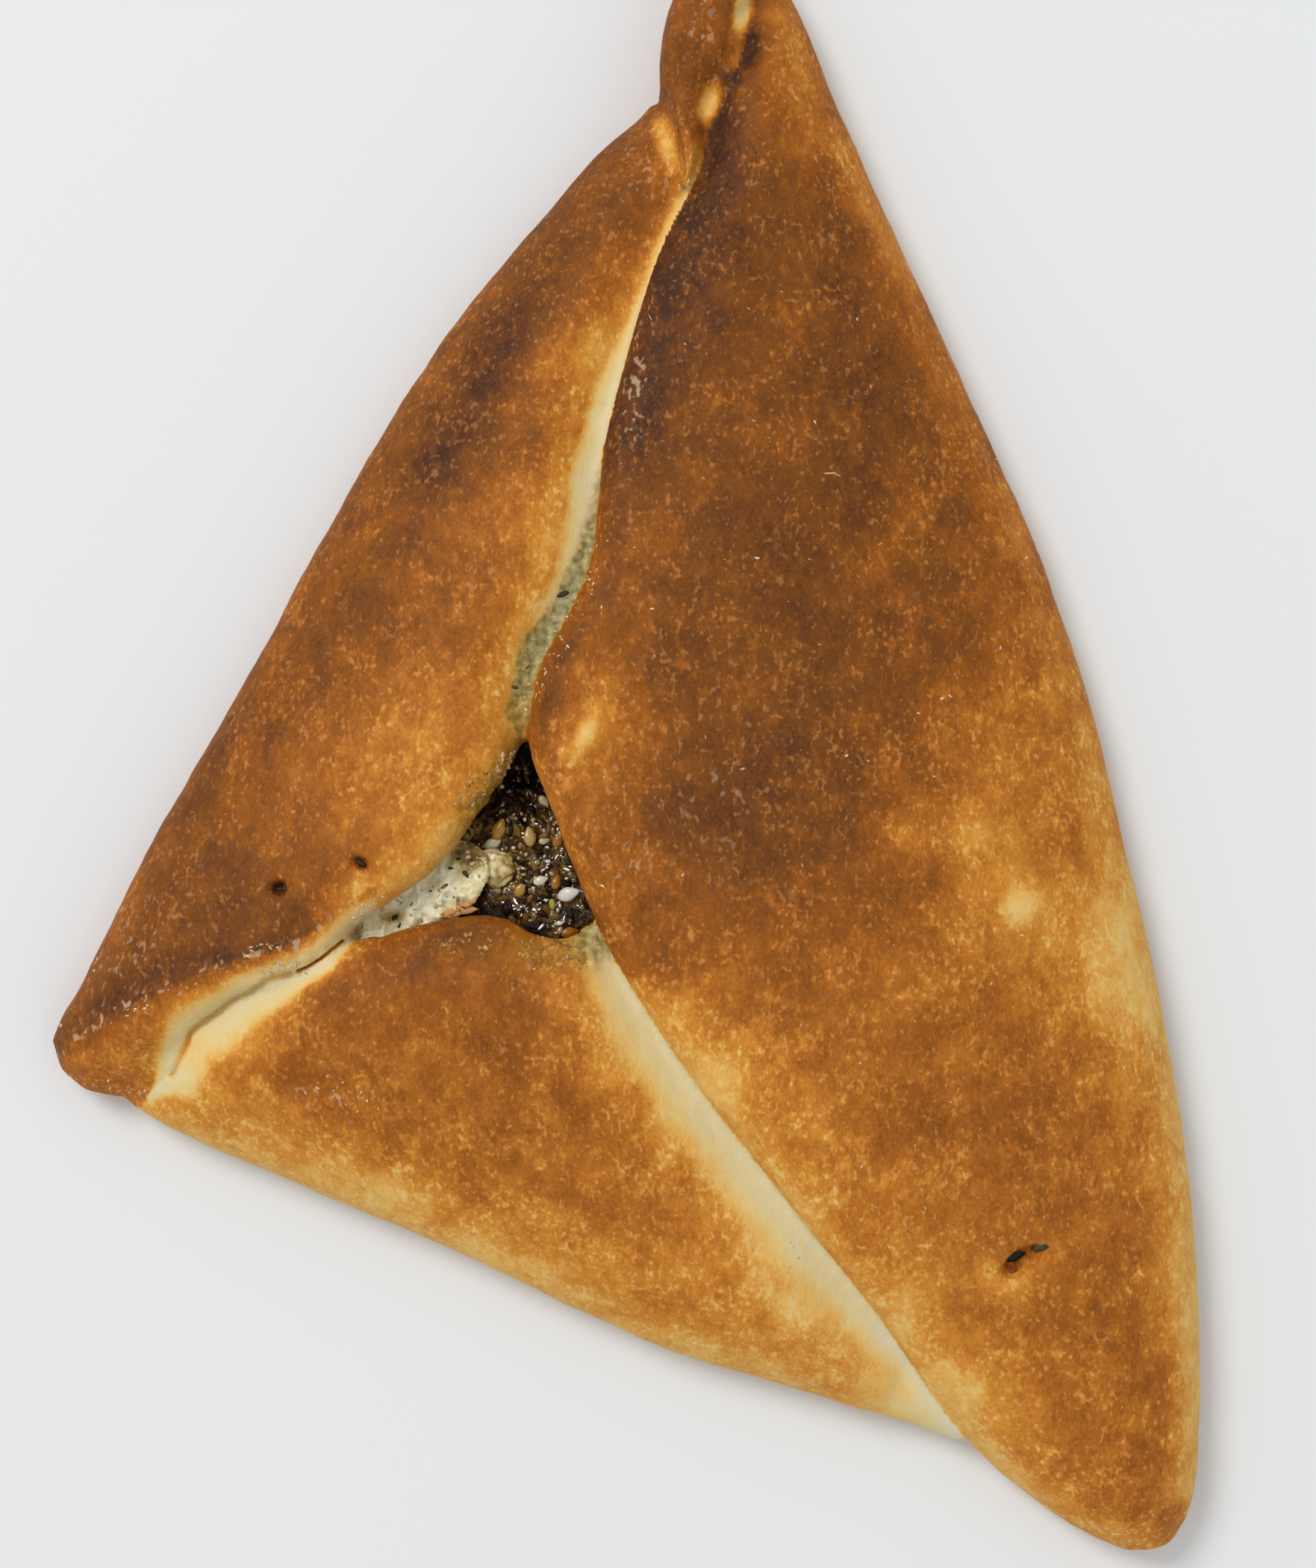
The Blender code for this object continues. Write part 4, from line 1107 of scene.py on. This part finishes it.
def seed_material():
    """Glossy seeds, each coloured by its tone."""
    material, tree, shader = new_material("sesame")
    tone = attribute(tree, "tone")
    fine = place_group(tree, mottle, Size=0.7, Detail=2.0)
    value = calc(tree, "MULTIPLY_ADD", fine, 0.3, tone)
    colour = ramp(tree, value, [(0.0, rgb(216, 210, 196)), (0.3, rgb(188, 172, 132)),
                                (0.6, rgb(172, 134, 62)), (0.85, rgb(160, 104, 20)),
                                (1.0, rgb(150, 90, 12))])
    tree.links.new(colour, shader.inputs["Base Color"])
    shader.inputs["Roughness"].default_value = 0.2
    roughen(tree, shader, fine, 0.08, 0.4)
    return material


seed_points, seed_faces = ball(16, 12)
seed_points = drop(seed_points)
laid = [lay(seed_points, np.array(SEED_HALF) * size, place, turn, lift=0.15, tip=6)
        for place, turn, size, tone in SEEDS]
join("sesame_seeds", laid, seed_faces, [tone for *_, tone in SEEDS], seed_material())

# %% [markdown]
# ## Herbs, grains and crumbs
# Between the seeds lie flakes of thyme, grains of sumac, bits of cheese and drops of oil. Each is
# one small ball with its points pushed in and out at random, so that no two are the same and their
# faces catch the light like broken ones. One call lays a whole kind.

# %% Strewing one kind
grain_mesh = bmesh.new()
bmesh.ops.create_icosphere(grain_mesh, subdivisions=2, radius=1)
GRAIN_POINTS, GRAIN_FACES = points_and_faces(grain_mesh)


def spread(draw, count, middle, radii, turn=0.0):
    """Places drawn at random inside an oval."""
    away, angle = np.sqrt(draw.uniform(0, 1, count)), draw.uniform(0, math.tau, count)
    x, y = away * np.cos(angle) * radii[0], away * np.sin(angle) * radii[1]
    c, s = math.cos(math.radians(turn)), math.sin(math.radians(turn))
    return np.column_stack([middle[0] + x * c - y * s, middle[1] + x * s + y * c])


def scatter(draw, *patches):
    """The places of several patches, each given as the rest of what spread needs."""
    return np.vstack([spread(draw, *patch) for patch in patches])


def strew(name, places, sizes, shape, tones, material, on, seed, ragged=0.2, turns=None, tilt=20,
          up=None):
    """One joined mesh of grains. shape is a grain's length, width and height against its size."""
    draw = np.random.default_rng(seed)
    laid, kept = [], []
    for number, (place, size, tone) in enumerate(zip(places, sizes, tones)):
        points = GRAIN_POINTS * (1 + ragged * draw.normal(size=(len(GRAIN_POINTS), 1)))
        turn = draw.uniform(0, 180) if turns is None else turns[number]
        half = np.array(shape) * size
        # The middle of a grain lies just above the surface, so that half of it sinks in
        grain = lay(points, half, place, turn, 0.1 * half[2], draw.uniform(-tilt, tilt), on, up)
        if grain is not None:
            laid.append(grain)
            kept.append(tone)
    return join(name, laid, GRAIN_FACES, kept, material)


def toned_material(name, stops, roughness, specular, bumpy=0.6):
    """Each piece takes its colour from a ramp by its tone, shaken by fine noise."""
    material, tree, shader = new_material(name)
    fine = place_group(tree, mottle, Size=0.5, Detail=2.0)
    value = calc(tree, "MULTIPLY_ADD", fine, 0.35, attribute(tree, "tone"))
    tree.links.new(ramp(tree, value, stops), shader.inputs["Base Color"])
    shader.inputs["Roughness"].default_value = roughness
    shader.inputs["Specular IOR Level"].default_value = specular
    roughen(tree, shader, fine, 0.1, bumpy)
    return material


# %% Herb grains, pale bits and oil drops on the paste
HERB = [(0.0, rgb(18, 10, 5)), (0.3, rgb(46, 27, 10)), (0.5, rgb(88, 58, 20)), (0.7, rgb(120, 92, 34)),
        (0.85, rgb(156, 122, 52)), (1.0, rgb(190, 162, 96))]
draw = np.random.default_rng(11)
places = scatter(draw, (260, (-13, -13), (11, 15)), (110, (-14, -15), (7.5, 7.5)))
sizes = draw.uniform(0.2, 0.55, len(places)) * draw.choice([1, 1, 1.6], len(places))
bright = spot_shape(places, (-14.5, -15), (6.5, 6))
tones = np.clip(draw.beta(1.2, 2.0, len(places)) * (0.52 + 0.5 * bright), 0, 1)
# Painted shade: grains in the hollow up under the flaps are darker
tones *= 1 - 0.7 * ease((places[:, 1] + 9) / 4)
strew("herb_grains", places, sizes, (1.2, 0.6, 0.4), tones, toned_material("herbs", HERB, 0.3, 0.16),
      (PASTE_TOP,), 21, 0.16)

PALE_BITS = [(0.0, rgb(150, 118, 66)), (0.5, rgb(196, 172, 118)), (1.0, rgb(228, 218, 196))]
places = scatter(draw, (34, (-14, -14.5), (5.5, 6.5)), (16, (-13.6, -10.2), (2.2, 1.6)),
                 (16, (-9.5, -19), (2.5, 3.5)))
places = np.vstack([places, [(-8.1, -18.3), (-16.8, -6.0), (-11.1, -6.6)]])
sizes = draw.uniform(0.12, 0.4, len(places))
strew("pale_grains", places, sizes, (1, 0.75, 0.6), draw.uniform(0, 1, len(places)),
      toned_material("pale_bits", PALE_BITS, 0.3, 0.5), (PASTE_TOP,), 22, 0.18)

OIL = [(0.0, rgb(44, 26, 8)), (0.6, rgb(116, 82, 28)), (1.0, rgb(190, 174, 134))]
places = scatter(draw, (60, (-12, -10), (5, 9)), (50, (-11, -21), (6, 5)),
                 (24, (-17.2, -19.2), (2.2, 1.0)), (20, (-8.6, -13), (1.2, 6), 15))
sizes = draw.uniform(0.25, 0.7, len(places))
oily = toned_material("oil", OIL, 0.05, 1.0, 0.0)
strew("oil_drops", places, sizes, (1, 0.7, 0.4), draw.uniform(0, 0.8, len(places)), oily,
      ON_FILLING, 23, 0.03)
# Flat films of oil that lie tilted to the window shine white from above
TO_WINDOW = (LAMP_PLACE.normalized() + Vector((0, 0, 1))).normalized()
places = scatter(draw, (30, (-11.5, -9), (3.5, 8), 15), (34, (-11, -20), (6, 5)),
                 (34, (-16.8, -19.5), (2.2, 0.5), -5), (12, (-14, -22), (2, 0.6), -10),
                 (22, (-8.4, -14), (1.0, 8), 15), (12, (-8, -25), (4, 1.2)))
sizes = draw.uniform(0.25, 0.6, len(places)) * draw.choice([1, 1, 1.6], len(places))
strew("oil_films", places, sizes, (1, 0.4, 0.1), draw.uniform(0, 0.6, len(places)), oily,
      ON_FILLING, 30, ragged=0.0, tilt=0, up=TO_WINDOW)

# %% Lump of cheese on the paste
lump_points, lump_faces = ball(40, 28)
ragged = 1 + 0.36 * lumps(lump_points, 0.6, 3.0) + 0.16 * lumps(lump_points, 0.25, 1.0)
lump_points = lump_points * ragged[:, None]
laid = lay(lump_points, half=(2.7, 2.2, 0.7), place=(-17.6, -16.8), turn=-8, lift=1.5, on=ON_FILLING,
           up=Vector((0, 0, 1)))
lump = join("cheese_lump", [laid], lump_faces, [0.7], cheese.data.materials[0])
# Its right end lies in the oil and is darker
darker = 0.3 * ease(lump_points[:, 0] * 1.4 - 0.3)
give(lump.data, "light", 0.34 + 0.5 * lumps(lump_points, 0.4, 5.0) - darker)

# %% Bits of cheese
CURD_BITS = [(0.0, rgb(150, 128, 78)), (0.4, rgb(204, 184, 122)), (1.0, rgb(230, 220, 180))]
curd = toned_material("curd", CURD_BITS, 0.22, 0.5)
# The patch just below the lump is pale partly for the white glints of wet oil there: painted highlight on
# bits of cheese
places = scatter(draw, (12, (-19.6, -14.6), (2.8, 1.6), 30), (16, (-16.8, -19.0), (2.4, 0.8), -10),
                 (12, (-27, -21), (9, 2.5), 25))
strew("cheese_bits", places, draw.uniform(0.15, 0.5, len(places)), (1, 0.75, 0.6),
      draw.uniform(0.1, 1.0, len(places)), curd, ON_FILLING, 24, 0.16)

# %% Herb leaves
LEAF = [(0.0, rgb(22, 20, 18)), (0.3, rgb(50, 46, 22)), (0.55, rgb(96, 84, 36)), (0.75, rgb(120, 62, 34)),
        (1.0, rgb(176, 172, 78))]
# Place, half length, turn in degrees and tone of each leaf or flake
LEAVES = [((-10.0, -21.6), 0.95, 100, 1.0), ((-21.4, -17.6), 0.75, -40, 0.25), ((-22.5, -15.6), 0.5, 10, 0.1),
          ((-20.7, -15.7), 0.4, 60, 0.3), ((-24.2, -19.2), 0.6, 35, 0.75), ((-31.0, -23.4), 0.9, 20, 0.2),
          ((-30.2, -24.3), 0.5, 60, 0.3), ((-18.6, -15.7), 0.32, 20, 0.5), ((-17.2, -16.1), 0.3, 70, 0.45),
          ((-16.5, -15.6), 0.3, 0, 0.6), ((50.9, -67.5), 1.9, 22, 0.0), ((54.0, -66.4), 1.3, 15, 0.35),
          ((50.4, -69.8), 0.8, 30, 0.7), ((-35.0, -16.0), 1.0, -35, 0.2), ((-45.8, -19.5), 0.8, 10, 0.3),
          ((-26.0, -19.8), 0.35, 0, 0.4), ((-28.6, -21.6), 0.3, 50, 0.3), ((-22.9, -20.6), 0.3, 15, 0.55),
          ((-22.2, -14.6), 0.5, 80, 0.5), ((-21.2, -13.6), 0.4, 30, 0.4), ((-23.4, -16.8), 0.4, 0, 0.3),
          ((-8.6, 19.2), 0.9, 20, 0.3), ((-14.9, 7.0), 0.6, -10, 0.35), ((-13.2, 9.6), 0.35, 40, 0.5)]
places, sizes, turns, tones = zip(*LEAVES)
strew("herb_leaves", places, sizes, (1, 0.4, 0.2), tones, toned_material("leaf", LEAF, 0.4, 0.3),
      ANYWHERE, 25, 0.12, turns, tilt=8)

# %% [markdown]
# ## Crumbs and flour on the crust
# The cut rims of the dough dried into crumbs, the folded corner kept grains of flour, and a few thin
# threads of dough were pulled out along the dark seam. All are grains again, in the colours of crust
# and flour.

# %% Crumbs on the crust
CRUMBS = [(0.0, rgb(138, 98, 40)), (0.3, rgb(160, 118, 56)), (0.6, rgb(180, 138, 80)),
          (1.0, rgb(202, 168, 124))]
BROWN_CRUMBS, PALE_CRUMBS = 174, 46
places = scatter(draw, (60, (-19.3, -6.0), (5.0, 1.4), 43), (90, (-9.7, -28.0), (4.8, 2.0), -12),
                 (24, (-21, -26.8), (3.8, 1.5)), (PALE_CRUMBS, (-16.1, -2.8), (1.9, 0.8), 50))
sizes = draw.uniform(0.1, 0.4, len(places))
tones = np.concatenate([draw.beta(1.4, 2.6, BROWN_CRUMBS), draw.uniform(0.4, 1.0, PALE_CRUMBS)])
strew("rim_crumbs", places, sizes, (1, 0.7, 0.3), tones, toned_material("crumbs", CRUMBS, 0.7, 0.06),
      (CRUST,), 26, 0.2)

# %% Flour on the crust
FLOUR = [(0.0, rgb(176, 136, 88)), (1.0, rgb(222, 204, 172))]
places = scatter(draw, (44, (-45.6, -29.6), (2.8, 0.8), 12), (24, (-48.4, -27.4), (3.2, 0.7), 14),
                 (16, (-42.4, -30.2), (1.3, 0.5), 20), (26, (-60, -33), (13, 0.9), 25),
                 (24, (-69.5, -46.0), (7, 0.7), -10), (12, (-73.5, -33), (1.0, 9), -28),
                 (20, (-34, -22), (3.2, 1.0), 36), (20, (-38, -46.5), (6, 2.2), -20),
                 (60, (-9.5, 12), (1.6, 12), -28), (120, (24, -10), (40, 70)))
sizes = draw.uniform(0.06, 0.24, len(places))
strew("flour_grains", places, sizes, (1.4, 0.6, 0.4), draw.uniform(0.0, 1.0, len(places)),
      toned_material("flour", FLOUR, 0.8, 0.05), (CRUST,), 27, 0.2)

# %% Toasted flakes and threads of dough
TOASTED = [(0.0, rgb(172, 104, 42)), (0.4, rgb(206, 146, 74)), (1.0, rgb(206, 168, 136))]
toasted = toned_material("toasted", TOASTED, 0.45, 0.25)
places = spread(draw, 8, (-21.8, -22.0), (2.6, 0.5), 22)
strew("toasted_flakes", places, draw.uniform(0.5, 1.1, 8), (1.5, 0.6, 0.2), draw.uniform(0.1, 0.6, 8),
      toasted, ANYWHERE, 28, 0.16, draw.uniform(5, 40, 8))
places = scatter(draw, (14, (2.2, 54.6), (0.7, 3.8), -16), (3, (1.4, 49.2), (0.6, 0.8)))
places = np.vstack([places, [(26.2, 34.9), (27.2, 34.8)]])
sizes = np.concatenate([draw.uniform(0.2, 0.8, 17), [1.1, 0.9]])
turns = np.concatenate([draw.uniform(60, 120, 14), draw.uniform(-40, 60, 3), [4, -16]])
tones = np.concatenate([draw.uniform(0.2, 0.9, 17), [1.0, 1.0]])
strew("dough_threads", places, sizes, (1, 0.1, 0.1), tones, toasted, (CRUST,), 29, 0.12, turns)
